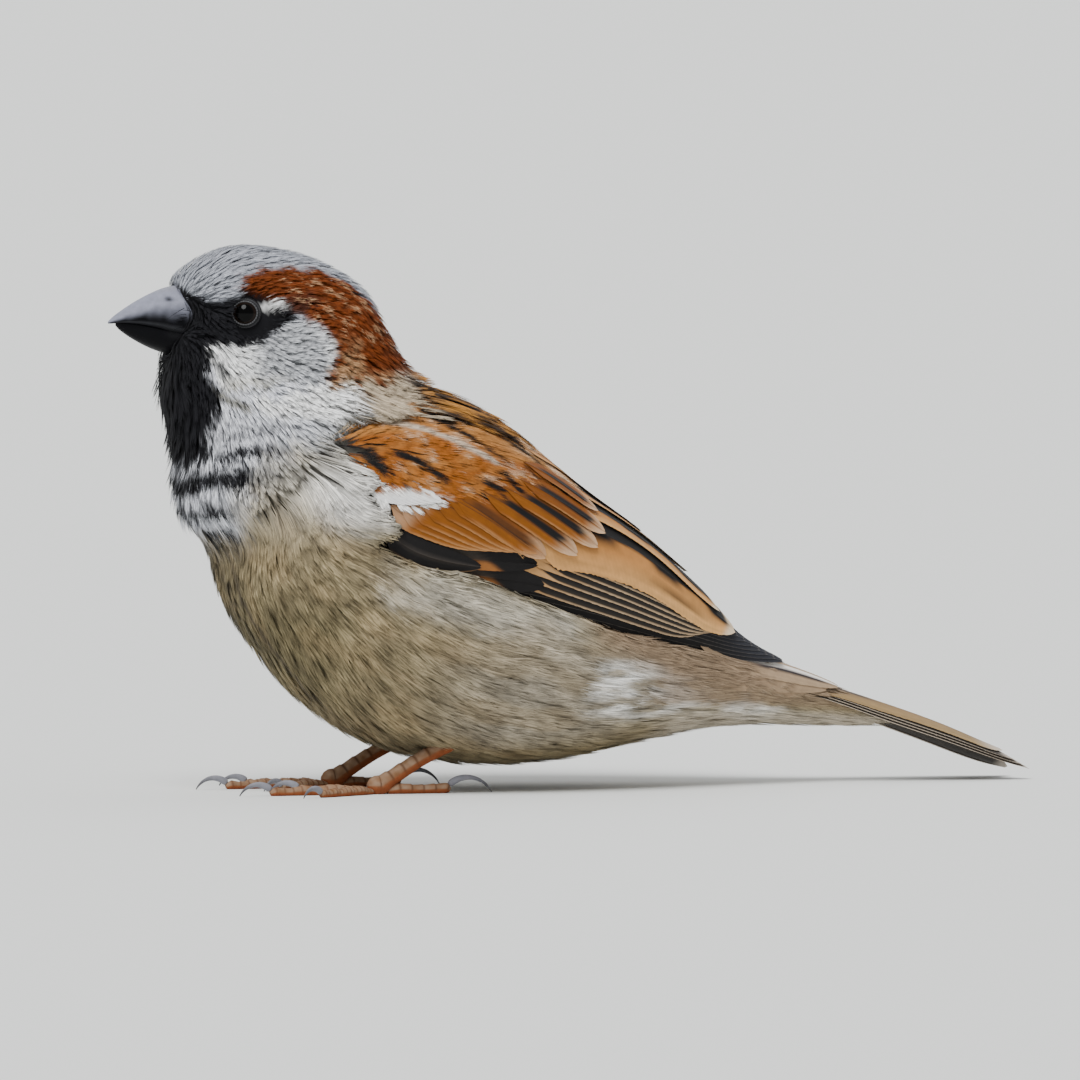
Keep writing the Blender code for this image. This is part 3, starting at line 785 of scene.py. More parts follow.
# How the coat lies in side view: place (y, z), and degrees that feathers there point below straight back.
COAT_FLOW = np.array((
    (-38, 67, -45), (-33, 70, -20), (-26, 71, 5), (-18, 68, 25), (-13, 63, 50), (-9, 58, 60), (-34, 66, -20),
    (-25, 67, 5), (-19, 65, 12), (-15, 61, 45), (-14, 56, 50), (-18, 58, 28), (-24, 61, -15), (-30, 59, 8),
    (-23, 58, 0), (-20, 59, -8), (-28, 55, 35), (-22, 55, 28), (-32, 53, 55), (-36, 62, 25), (-36, 57, 70),
    (-37, 52, 80), (-37, 47, 80), (-32, 48, 80), (-27, 48, 72), (-24, 51, 28), (-19, 48, 50), (-13, 52, 35),
    (-11, 49, 22), (-34, 44, 82), (-35, 39, 80), (-31, 41, 70), (-26, 44, 60), (-24, 41, 42), (-21, 44, 16),
    (-21, 39, 18), (-16, 40, 14), (-16, 35, 20), (-26, 36, 48), (-30, 31, 56), (-24, 28, 45), (-17, 31, 30),
    (-14, 23, 35), (-29, 24, 60), (-24, 19, 50), (-15, 14, 30), (-8, 24, 25), (-3, 18, 20), (5, 20, 22),
    (9, 12, 10), (20, 17, 15), (31, 13, 10), (44, 11, 12), (38, 17, 24), (-3, 52, 33), (2, 48, 38),
    (9, 42, 41), (20, 35, 41), (28, 28, 42),
))


def flow_lean(points, rung, angle):
    """How far feathers turn off the body's own lines to lie as the table of the coat's flow says."""
    gap = np.linalg.norm(points[:, None, 1:] - COAT_FLOW[None, :, :2], axis=2)
    weight = 1 / (gap + 0.6) ** 3
    heading = np.radians(COAT_FLOW[:, 2])
    back, down = (weight * np.cos(heading)).sum(1), (weight * np.sin(heading)).sum(1)
    wanted = unit(np.stack((0 * rung, back, -down), -1))
    along, around, _ = body_directions(rung, angle)
    along, around = unit(along), unit(around)
    slant = dot(along, around)
    on_along, on_around = dot(wanted, along), dot(wanted, around)
    return np.clip(np.arctan2(slant * on_along - on_around, on_along - slant * on_around), -1.3, 1.3)


def dot(first, second):
    return np.einsum("ij,ij->i", first, second)


def lean_round_eye(points):
    """Turns the feathers ahead of the eye so that they part round it."""
    offset = (points - EYE_CENTRE)[:, 1:]
    gap = np.linalg.norm(offset, axis=1)
    near = np.clip(1.2 - gap / 5.0, 0, 1) * (np.abs(points[:, 0]) > 4)
    above = np.sign(offset[:, 1]) * np.sign(points[:, 0])
    return above * near * 0.7


COAT_TREE = coat_tree()
PATCH_SIZE = (0.0015, 0.003)  # on the unwrap: half the breadth of a feather, and its length


class PlumageMap:
    """The coat's marks worked out once on a fine grid, then read anywhere on it."""

    def __init__(self, marks, surface, us, vs):
        self.us, self.vs = us, vs
        u, v = (part.ravel() for part in np.meshgrid(us, vs, indexing="ij"))
        values = [np.atleast_2d(m.T).T for m in marks(surface(u, v), u, v)]
        self.values = np.concatenate(values, axis=1).reshape(len(us), len(vs), -1)

    def read(self, u, v):
        x = np.clip((u - self.us[0]) / (self.us[1] - self.us[0]), 0, len(self.us) - 1.001)
        y = np.clip((v - self.vs[0]) / (self.vs[1] - self.vs[0]), 0, len(self.vs) - 1.001)
        i, j = x.astype(int), y.astype(int)
        x, y = (x - i)[:, None], (y - j)[:, None]
        near = self.values[i, j] * (1 - y) + self.values[i, j + 1] * y
        far = self.values[i + 1, j] * (1 - y) + self.values[i + 1, j + 1] * y
        found = near * (1 - x) + far * x
        return found[:, :3], found[:, 3:6], found[:, 6], found[:, 7]


def feather_height(along, out_of_bed, tone, below, stand):
    """Height of a feather's points over the coat's outer face. Its root is below, its tip rises."""
    rise = np.clip(along, 0, 1.1) ** 0.36
    height = -below * (1 - rise) + out_of_bed + (tone - 0.5) * 0.2 * below * along
    return height + stand * (tone > 0.6) * (tone - 0.5) * np.clip(along, 0, 1.1) ** 2


def feather_colour(marks, tip, edge, tone, shade):
    """The plumage's marks on loose feathers, with their fringes and the light and dark of single barbs."""
    main, fringe, width, contrast = marks
    on_fringe = smooth(1 - width - 0.12, 1 - width + 0.02, tip + 0.12 * (shade - 0.5)) * (width > 0.01)
    strand = 1 + contrast * (shade - 0.5) * 1.4 * (0.4 + 0.6 * edge)
    light = (0.92 + 0.12 * smooth(0.1, 0.7, tip)) * (0.92 + 0.16 * tone) * (0.92 + 0.16 * edge)
    return blend(main, fringe, on_fringe) * (light * strand)[:, None]


def make_coat(
    name, bed, ranges, spacing, feathers, slot, marks, depth, lay, splay, seed, mirror=False, stand=0.0,
):
    """One piece of the coat: feathers grown on a bed, then wrapped on the surface and coloured."""
    mesh = grown(bed, COAT_TREE, Feathers=feathers, Spacing=spacing, Splay=splay, Seed=seed, Finish=COAT)
    local = read_points(mesh)
    tip, out, edge = read_values(mesh, "vane", 3).T
    u, v = read_values(mesh, "rung").astype(float), read_values(mesh, "angle").astype(float)
    tone, shade = read_values(mesh, "tone"), read_values(mesh, "shade")
    height = feather_height(tip, local[:, 2], tone, depth(u), stand)
    points, new_u, new_v = lay(u, v, local[:, 0], local[:, 1], height)
    per_mm = (new_u - u) / np.maximum(local[:, 1], 0.3)
    found = marks.read(new_u + per_mm * ((tone - 0.5) * 0.9 + (shade - 0.5) * 0.7), new_v)
    if mirror:
        points = points * (-1, 1, 1)
        mesh.flip_normals()
    mesh.vertices.foreach_set("co", to_frame(points).astype(np.float32).ravel())
    paint(mesh, feather_colour(found, tip, edge, tone, shade))
    (u0, u1), (v0, v1) = ranges
    root = np.stack(((v - v0) / (v1 - v0), (u - u0) / (u1 - u0)), -1)
    store_uv(mesh, np.clip(root, 0.002, 0.996) + np.stack((out, tip), -1) * PATCH_SIZE)
    drop_values(mesh, "vane", "shade", "rung", "angle", "tone", "size", "lean", "cover")
    mesh.name = name
    declare(name, mesh)


def drop_values(mesh, *names):
    for name in names:
        if name in mesh.attributes:
            mesh.attributes.remove(mesh.attributes[name])


# ---------------------------------------------------------------- the coat, piece by piece

BODY_FEATHERS = feather_set("body_feather", 9.4, 2.2, 17, 1.0)
BREAST_FEATHERS = feather_set("breast_feather", 7.0, 1.8, 14, 0.95)
FACE_FEATHERS = feather_set("face_feather", 2.6, 1.0, 9, 0.75)
CROWN_FEATHERS = feather_set("crown_feather", 3.2, 1.2, 10, 0.75)
BIB_FEATHERS = feather_set("bib_feather", 3.7, 1.5, 11, 0.75)

# Where the folded wing shows in side view. Body feathers lie over its edge only outside this.
WING_BARE = (
    (-20.7, 47.0), (-20.6, 45.7), (-18.8, 43.6), (-16.4, 41.2), (-18.2, 39.4), (-16.0, 37.2), (-14.4, 34.8),
    (-17.2, 33.2), (-14.3, 31.0), (-11.0, 29.7), (-4.1, 28.6), (2.4, 26.0), (11.6, 22.8), (19.6, 20.1),
    (30.4, 18.2), (35.8, 17.1), (41.0, 16.6), (41.0, 19.0), (32.0, 25.6), (24.4, 32.0), (16.2, 37.8),
    (7.6, 44.2), (-1.2, 48.5), (-11.6, 49.4),
)
WING_OUTLINE = (
    (-21.2, 45.0), (-17.8, 38.4), (-15.2, 32.6), (-7.6, 28.4), (2.6, 25.6), (14.7, 22.4), (26.0, 19.6),
    (36.4, 17.8), (39.4, 20.2), (32.8, 26.6), (25.2, 33.0), (17.0, 38.8), (8.2, 45.6), (-1.0, 50.2),
    (-11.6, 51.2), (-20.0, 48.4),
)
PI = math.pi
BODY_MARKS = PlumageMap(plumage, body_surface, np.linspace(0, LAST_RUNG, 400), np.linspace(-PI, PI, 481))


def clear_of_wing(points):
    """Where the folded wing hides the body, no feathers grow."""
    return (polygon_side(WING_BARE, points[:, 1], points[:, 2]) < 1.2) | (np.abs(points[:, 0]) < 6.5)


def lay_beside_wing(rung, angle, across, along, height):
    """Lays feathers on the body: over the wing's edge where it is covered, under it where it is bare."""
    points, new_rung, new_angle = lay_on_body(rung, angle, across, along, height)
    near = (np.abs(points[:, 0]) > 6) & (points[:, 1] > -27) & (points[:, 1] < 42) & (points[:, 2] > 15)
    x, y, z = points[near].T
    edge = smooth(-4.0, 0.6, polygon_side(WING_OUTLINE, y, z))
    proud = np.interp(y, (-23, -17, -10, -2, 6, 16, 30), (2.6, 3.6, 3.2, 1.7, 1.1, 0.7, 0.6))
    bare = smooth(-0.2, 0.6, polygon_side(WING_BARE, y, z) + 0.45 * wobble(points[near], 1.6, 43))
    points[near, 0] += np.sign(x) * (proud * edge * (1 - bare) - 3.5 * bare)
    return points, new_rung, new_angle


def face_size(rung):
    """The smallest feathers are at the bill, and they lengthen towards the neck."""
    return 0.55 + 0.45 * smooth(0.2, 3.5, rung)


def throat_size(rung):
    return 0.7 + 0.6 * smooth(0.3, 3.0, rung)


def rear_size(rung):
    return 1.0 - 0.5 * smooth(14.0, 16.5, rung)


def make_coats():
    """All pieces of the coat, each on a belt of the body between two rungs and two angles."""
    head_kind = dict(slot="head_plumage", splay=0.16, size=face_size, lay=lay_on_body)
    body_kind = dict(slot="body_plumage", thin=clear_of_wing, lay=lay_beside_wing)
    crown = dict(head_kind, feathers=CROWN_FEATHERS)
    face = dict(head_kind, feathers=FACE_FEATHERS)
    bib = dict(head_kind, feathers=BIB_FEATHERS, splay=0.30, size=throat_size, stand=1.6)
    breast = dict(body_kind, feathers=BREAST_FEATHERS, splay=0.15)
    long = dict(body_kind, feathers=BODY_FEATHERS, splay=0.13)
    belts = (
        ("crown_feathers", (0.1, 8.0), (0.0, 1.05), 0.52, crown),
        ("cheek_feathers", (0.1, 7.0), (1.05, 2.3), 0.47, face),
        ("throat_feathers", (0.1, 6.0), (2.3, PI), 0.56, bib),
        ("neck_feathers", (7.0, 9.3), (1.0, 2.3), 0.66, breast),
        ("breast_feathers", (6.0, 9.3), (2.3, PI), 0.66, breast),
        ("mantle_feathers", (8.0, 12.0), (0.0, 1.0), 1.2, long),
        ("belly_feathers", (9.3, 13.0), (2.2, PI), 0.79, long),
        ("side_feathers", (9.3, 13.0), (1.0, 2.2), 0.79, long),
        ("rump_feathers", (12.0, 16.7), (0.0, 1.5), 0.90, dict(long, size=rear_size)),
        ("vent_feathers", (13.0, 16.95), (1.5, PI), 0.98, long),
    )
    for seed, (name, rungs, angles, spacing, kind) in enumerate(belts, 1):
        kind = dict(kind)
        bed = body_bed(name + "_bed", rungs, angles, kind.pop("size", None), kind.pop("thin", None))
        make_coat(
            name, bed, (rungs, (-PI, PI)), spacing, marks=BODY_MARKS, depth=body_depth, seed=seed, **kind,
        )


# ---------------------------------------------------------------- the wings

# Lower edge point, upper edge point and outward bulge, from the shoulder to the wing's tip.
WING = np.array((
    (16.4, -20.8, 44.4, 14.6, -20.0, 48.0, 0.6),
    (19.6, -17.6, 38.4, 12.0, -11.6, 51.2, 3.0),
    (20.6, -15.0, 32.6, 9.0, -1.0, 50.2, 5.6),
    (20.8, -7.6, 28.6, 7.0, 8.2, 45.6, 6.6),
    (20.0, 2.6, 25.8, 5.2, 17.0, 38.8, 6.2),
    (17.0, 14.7, 22.6, 4.2, 25.2, 33.0, 4.8),
    (12.6, 26.0, 19.8, 3.2, 32.8, 26.6, 3.2),
    (8.2, 36.4, 18.0, 2.6, 39.4, 20.2, 1.4),
    (4.6, 45.2, 16.4, 2.6, 46.0, 17.0, 0.2),
))
WING_LENGTH_STEP = 9.2  # millimetres along the wing between two rows of the table
WING_BREADTH = (4.0, 16.0, 24.5, 27.0, 24.0, 19.0, 13.0, 6.5, 2.0)  # across, at each row


def wing_surface(at, up):
    """The left wing's outer face. up is 0 on the lower edge and 1 on the upper one."""
    row = curve_through(WING, at)
    low, high = row[..., 0:3], row[..., 3:6]
    near = curve_through(WING, np.maximum(at - 0.5, -0.4))
    far = curve_through(WING, np.minimum(at + 0.5, 8.4))
    length = unit((far - near)[..., 0:3] + (far - near)[..., 3:6])
    outward = unit(np.cross(length, unit(high - low)))
    outward = np.where(outward[..., :1] < 0, -outward, outward)
    up = up[..., None]
    return low + (high - low) * up + outward * (4 * row[..., 6:7] * up * (1 - up))


def directions_on(surface, outward):
    """A function for the steps along and across a surface, and its normal to the outward axis."""
    def directions(at, up):
        step = 0.02
        along = (surface(at + step, up) - surface(at - step, up)) / (2 * step)
        across = (surface(at, up + step) - surface(at, up - step)) / (2 * step)
        normal = unit(np.cross(along, across))
        return along, across, np.where(normal[:, outward, None] < 0, -normal, normal)

    return directions


wing_directions = directions_on(wing_surface, 0)


def lay_on_wing(at, up, across, along, height):
    """Where a point goes that is so many millimetres across, along and above its root on the wing."""
    step, rise, _ = wing_directions(at, up)
    sizes = np.linalg.norm(step, axis=1), np.linalg.norm(rise, axis=1)
    slant = dot(step, rise) / (sizes[0] * sizes[1])
    new_up = up + across / np.maximum(sizes[1] * np.sqrt(1 - slant**2), 10.0)
    new_at = at + (along - across * slant) / np.maximum(sizes[0], 4.0)
    return wing_surface(new_at, new_up) + wing_directions(new_at, new_up)[2] * height[:, None], new_at, new_up


RUST = (0.29, 0.088, 0.012)
RUST_PALE = (0.44, 0.195, 0.052)
BUFF = (0.62, 0.36, 0.16)
BUFF_PALE = (0.78, 0.60, 0.42)
SOOT = (0.010, 0.009, 0.009)
DUSK = (0.035, 0.028, 0.022)

# Black marks of the scapulars and small coverts: their line on the wing and their breadth.
BLACK_MARKS = (
    (((0.0, 0.42), (0.45, 0.36)), 1.5), (((0.55, 0.36), (0.98, 0.25)), 1.8),
    (((1.1, 0.44), (1.5, 0.43), (1.9, 0.40)), 1.1), (((2.55, 0.48), (2.9, 0.45)), 1.1),
    (((1.5, 0.88), (1.85, 0.81)), 1.7), (((1.45, 1.02), (1.75, 0.95)), 0.5),
    (((1.9, 0.78), (2.3, 0.73), (2.68, 0.66)), 0.7),
    (((2.2, 0.89), (2.72, 0.86), (3.1, 0.81), (3.34, 0.72), (3.62, 0.66)), 1.0),
    (((1.5, 1.1), (2.0, 1.06), (2.4, 1.0)), 0.9), (((2.75, 0.57), (3.0, 0.52), (3.3, 0.49)), 1.1),
    (((3.0, 0.70), (3.2, 0.64), (3.4, 0.60)), 0.5),
)
BAR_TOP = ((0.70, -0.05), (1.10, 0.145), (1.54, 0.235), (2.0, 0.29), (2.3, 0.31))
PALE_LINE = ((0.9, 0.76), (1.56, 0.71), (2.06, 0.67), (2.55, 0.62))
PALE_RIM = ((2.4, 1.0), (2.9, 0.96), (3.4, 0.84), (3.8, 0.78))


def gap_to_line(line, at, up, jitter):
    """Distance in millimetres from a line on the wing."""
    return gap_to_path(line, at, up, WING_LENGTH_STEP, np.interp(at, range(9), WING_BREADTH)) + jitter


def wing_marks(points, at, up):
    """The marks of the small feathers over the shoulder and along the back of the wing."""
    jitter = wobble(points, 2.2, 31) * 0.16 + wobble(points, 0.9, 32) * 0.10
    main = np.tile(RUST, (len(at), 1))
    upper = smooth(0.62, 0.72, up - 0.06 * (at - 1.6))
    main = blend(main, RUST_PALE, 0.65 * upper)
    main = blend(main, BUFF, upper * smooth(2.2, 3.4, at) * 0.6)
    streaky = smooth(0.1, 0.9, wobble(points * (1.0, 0.35, 1.0), 3.0, 33))
    main = blend(main, RUST_PALE, 0.6 * streaky * smooth(1.0, 1.6, at) * smooth(0.36, 0.5, up))
    main = blend(main, RUST_PALE, 0.4 * smooth(0.0, 0.8, wobble(points, 4.0, 34)))
    main = blend(main, (0.52, 0.45, 0.36), 0.85 * smooth(0.75, 0.25, gap_to_line(PALE_LINE, at, up, jitter)))
    main = blend(main, BUFF_PALE, 0.7 * smooth(1.1, 0.3, gap_to_line(PALE_RIM, at, up, jitter)))
    nape = smooth(1.5, 1.05, at) * smooth(0.78, 0.9, up)
    main = blend(main, (0.34, 0.27, 0.18), nape)
    for line, breadth in BLACK_MARKS:
        inside = smooth(0.16, -0.16, gap_to_line(line, at, up, jitter) - breadth / 2)
        main = blend(main, SOOT, inside)
    bar = smooth(0.02, -0.02, up - np.interp(at, *zip(*BAR_TOP)) - 0.02 * jitter)
    bar = bar * smooth(0.55, 0.9, at + 0.2 * jitter) * smooth(2.32, 2.16, at + 0.2 * jitter)
    main = blend(main, (0.88, 0.87, 0.84), bar)
    dark = main.mean(axis=1) < 0.1
    fringe = blend(main, BUFF_PALE, np.where(bar > 0.5, 0.0, 0.45))
    flecked = smooth(0.45, 0.9, wobble(points, 3.5, 37)) * smooth(0.8, 1.4, at)
    width = np.where(dark | (bar > 0.5), 0.0, 0.15 * flecked)
    return main, fringe, width, np.where(dark, 0.3, np.where(bar > 0.5, 0.55, 0.42))


def vane_pattern(name, lines, reach):
    """A flat feather vane, root at the origin and tip along +Y, as rows of joined barbs.

    "vane" says how far along the shaft, how far out to the side, and which rows stand proud.
    """
    draw = np.random.default_rng(lines)
    points, faces, vane = [], [], []
    columns = (0.0, 0.07, 0.35, 0.60, 0.72, 0.80, 0.9, 1.0)
    for side in (-1, 1):
        base = len(points)
        for j, start in enumerate(np.linspace(0.0, 0.985, lines + 1)):
            ragged = 1 - 0.04 * draw.random()
            for out in columns:
                y = start + reach * (1 - start) ** 0.7 * out**1.15
                x = out * (ragged if out == 1.0 else 1)
                points.append((side * x, y, 0.0))
                vane.append((min(y, 1.0), side * x, j % 2))
        faces += (grid_faces(lines + 1, len(columns)) + base).tolist()
    mesh = bpy.data.meshes.new(name)
    mesh.from_pydata(points, [], faces)
    mesh.shade_smooth()
    store_values(mesh, "vane", vane)
    return bpy.data.objects.new(name, mesh)


def row_tree():
    """Puts one vane at each point of a row, all at the origin, numbered by their point."""
    tree = Tree("feather_row", Row="Geometry", Vane="Object", Finish="Material")
    number = tree.node("GeometryNodeInputIndex").outputs[0]
    numbered = tree.keep(tree.given["Row"], "feather", "INT", number)
    shape = tree.node("GeometryNodeObjectInfo", {"Object": tree.given["Vane"]}).outputs["Geometry"]
    place = tree.node("GeometryNodeInstanceOnPoints", {"Points": numbered, "Instance": shape})
    return tree.finish(place.outputs[0])


ROW_TREE = row_tree()
SMALL_VANE = vane_pattern("small_vane", 22, 0.34)
COVERT_VANE = vane_pattern("covert_vane", 44, 0.24)
LONG_VANE = vane_pattern("long_vane", 110, 0.09)


class Feather:
    """One vane: its shaft's two ends on a surface, its two webs' breadths, its height and look."""

    def __init__(self, root, tip, low_web, high_web, height, look, bow=0.0, round_from=0.6, tilt=0.12,
                 tone=0.5, mark=0.0, taper=0.0):
        self.values = (*root, *tip, low_web, high_web, *height, bow, round_from, tilt, tone, mark, taper)
        self.look = look


def vane_places(values, a, side, proud, surface, directions):
    """Where the points of vanes go: along each one's own arched line, and out from it on its webs."""
    root, tip = values[:, 0:2], values[:, 2:4]
    low_web, high_web, root_height, tip_height, bow, round_from, tilt = values[:, 4:11].T
    taper = values[:, 13]
    arch = np.stack((np.zeros(len(a)), bow), -1)
    centre = root + (tip - root) * a[:, None] + arch * (4 * a * (1 - a))[:, None]
    heading = (tip - root) + arch * (4 * (1 - 2 * a))[:, None]
    step, rise, normal = directions(centre[:, 0], centre[:, 1])
    tangent = unit(step * heading[:, :1] + rise * heading[:, 1:])
    across = unit(np.cross(normal, tangent))
    across = np.where((dot(across, rise) < 0)[:, None], -across, across)
    past = np.clip((a - round_from) / (1 - round_from), 0, 1)
    breadth = np.sqrt(np.clip(a / 0.16 + 0.15, 0, 1)) * np.maximum(1 - past**2.2, 0) ** 0.68
    offset = np.where(side < 0, low_web * (1 - taper * a), high_web) * side * breadth
    # The offset in millimetres as steps along and across the surface, which aren't square to each other.
    g11, g12, g22 = dot(step, step), dot(step, rise), dot(rise, rise)
    r1, r2 = dot(across, step) * offset, dot(across, rise) * offset
    det = g11 * g22 - g12 * g12
    place = centre + np.stack(((g22 * r1 - g12 * r2) / det, (g11 * r2 - g12 * r1) / det), -1)
    height = root_height + (tip_height - root_height) * a - tilt * side + 0.02 * proud * np.abs(side)
    height = height + 0.07 * np.clip(1 - np.abs(side) / 0.07, 0, 1)
    lift = directions(place[:, 0], place[:, 1])[2] * height[:, None]
    return surface(place[:, 0], place[:, 1]) + lift


def lay_vanes(rows, vane, directions, surface):
    """A list of feathers laid on a surface: their mesh, and its points, colours and UV places."""
    row = bpy.data.meshes.new("row")
    row.from_pydata([(0, 0, 0)] * len(rows), [], [])
    mesh = grown(bpy.data.objects.new("row", row), ROW_TREE, Vane=vane, Finish=VANE)
    a, side, proud = read_values(mesh, "vane", 3).T
    feather = read_values(mesh, "feather")
    values = np.array([f.values for f in rows])[feather]
    points = vane_places(values, a, side, proud, surface, directions)
    colour = np.zeros((len(a), 3))
    for look in {f.look for f in rows}:
        chosen = np.array([f.look is look for f in rows])[feather]
        colour[chosen] = look(a[chosen], side[chosen], values[chosen, 11], values[chosen, 12])
    colour = colour * (0.96 + 0.07 * proud * np.abs(side))[:, None]
    cells = math.ceil(math.sqrt(len(rows)))
    cell = np.stack((feather % cells, feather // cells), -1)
    uv = (cell + 0.5 + 0.46 * np.stack((side, 2 * a - 1), -1)) / cells
    drop_values(mesh, "vane", "feather")
    return mesh, points, colour, uv


def declare_vanes(name, parts, replaces=(), mirror=False):
    """Joins meshes from lay_vanes into one piece, mirrored to the right side when asked."""
    shape = bmesh.new()
    for mesh, points, colour, uv in parts:
        points = points * (-1, 1, 1) if mirror else points
        copy = mesh.copy()
        copy.vertices.foreach_set("co", to_frame(points).astype(np.float32).ravel())
        if mirror:
            copy.flip_normals()
        paint(copy, colour)
        store_uv(copy, uv)
        shape.from_mesh(copy)
    whole = bpy.data.meshes.new(name)
    shape.to_mesh(whole)
    shape.free()
    whole.materials.append(VANE)
    declare(name, whole, replaces)


def both_halves(mesh, points, colour, uv, drop):
    """A laid left half and its mirror image hung lower, each in its own half of the UV map."""
    right = mesh.copy()
    right.flip_normals()
    hung = points * (-1, 1, 1) - np.stack((0 * drop, 0 * drop, drop), -1)
    return [(mesh, points, colour, uv * (0.5, 1)), (right, hung, colour, uv * (0.5, 1) + (0.5, 0))]


def look_median(a, side, tone, mark):
    """White with a hidden dark base."""
    colour = blend((0.10, 0.08, 0.07), (0.90, 0.89, 0.87), smooth(0.25, 0.45, a + 0.1 * np.abs(side)))
    return colour * (0.90 + 0.10 * np.sin(side * 30 + 12 * a))[:, None]


def look_greater(a, side, tone, mark):
    """Warm brown, with a black centre on the inner ones and a pale tip."""
    inner = np.clip(mark, 0, 1)
    warm = blend((0.20, 0.060, 0.006), (0.29, 0.096, 0.012), 0.6 * tone + 0.5 * smooth(0.4, 1.0, a))
    warm = warm * (0.93 + 0.07 * np.sin(side * 38 + 14 * a))[:, None]
    pale_until = 0.27 + 0.30 * np.minimum(mark, 0)
    warm = blend(warm, (0.70, 0.50, 0.32), 0.35 * smooth(0.10, -0.04, a - pale_until) * (mark <= 0))
    colour = blend(warm, (0.52, 0.27, 0.11), 0.55 * smooth(-0.7, -1.0, side) * smooth(0.2, 0.5, a))
    colour = blend(colour, (0.17, 0.05, 0.012), 0.8 * smooth(0.2, 0.7, side) * (1 - 0.7 * inner))
    colour = blend(colour, SOOT, smooth(0.09, 0.0, np.abs(side)) * 0.55)
    dark = smooth(-0.16, -0.04, side + 0.25 * (a - 0.6)) * smooth(0.62, 0.4, side) * smooth(0.15, 0.3, a)
    dark = dark * smooth(0.92, 0.84, a + 0.16 * np.abs(side - 0.3))
    colour = blend(colour, SOOT, dark * inner)
    tip = smooth(0.80, 1.02, a + 0.10 * np.abs(side) + 0.04 * np.sin(side * 31 + 20 * tone))
    pale = blend((0.50, 0.26, 0.11), (0.66, 0.45, 0.28), inner)
    return blend(colour, pale, tip * (0.5 + 0.25 * inner))


def look_alula(a, side, tone, mark):
    """Black, paler along the shaft, with a thin brown outer edge."""
    colour = blend(SOOT, (0.045, 0.038, 0.033), smooth(0.16, 0.0, np.abs(side)))
    return blend(colour, (0.24, 0.13, 0.06), 0.7 * smooth(-0.80, -0.97, side) * smooth(0.2, 0.5, a))


def look_primary_covert(a, side, tone, mark):
    """Brown outer web and a black end."""
    colour = blend(DUSK, (0.30, 0.115, 0.03), smooth(0.1, -0.2, side))
    return blend(colour, SOOT, smooth(0.60, 0.68, a + 0.1 * side))


def look_secondary(a, side, tone, mark):
    """Blackish with a buff line along the outer edge, broad and orange at the base."""
    wide = 0.105 + 0.70 * smooth(0.30, 0.10, a)
    edge = smooth(-1 + wide + 0.05, -1 + wide - 0.05, side) * smooth(1.0, 0.95, a)
    line = blend((0.52, 0.28, 0.11), (0.60, 0.42, 0.25), smooth(0.15, 0.5, a))
    return blend(blend(DUSK, SOOT, smooth(-0.9, -0.4, side)), line, edge)


def look_tertial(a, side, tone, mark):
    """A warm outer web, black along the shaft and a pale edge round the tip."""
    pale = smooth(-0.2, -0.95, side) * 0.6 + 0.4 * smooth(0.2, 0.9, a)
    web = blend((0.44, 0.18, 0.045), (0.78, 0.43, 0.16), pale)
    web = web * (0.92 + 0.10 * np.sin(side * 44 + 10 * a))[:, None]
    line = smooth(0.035, 0.0, np.abs(side + 0.5 + 0.15 * a)) * smooth(0.3, 0.5, a) * (mark > 0.5)
    web = blend(web, (0.07, 0.035, 0.015), 0.75 * line)
    colour = blend(web, SOOT, smooth(-0.10, -0.02, side + 0.06 * np.sin(a * 21 + 9 * tone)))
    return blend(colour, (0.74, 0.58, 0.40), smooth(0.93, 0.975, a + 0.03 * np.abs(side)))


def look_primary(a, side, tone, mark):
    """Dark slate with a thin pale edge that shows at the tip."""
    colour = blend(SOOT, (0.030, 0.031, 0.038), smooth(0.7, 1.0, a))
    edge = smooth(-0.90, -0.97, side) * 0.22 + smooth(0.975, 0.995, a) * 0.35
    return blend(colour, (0.36, 0.32, 0.28), edge)


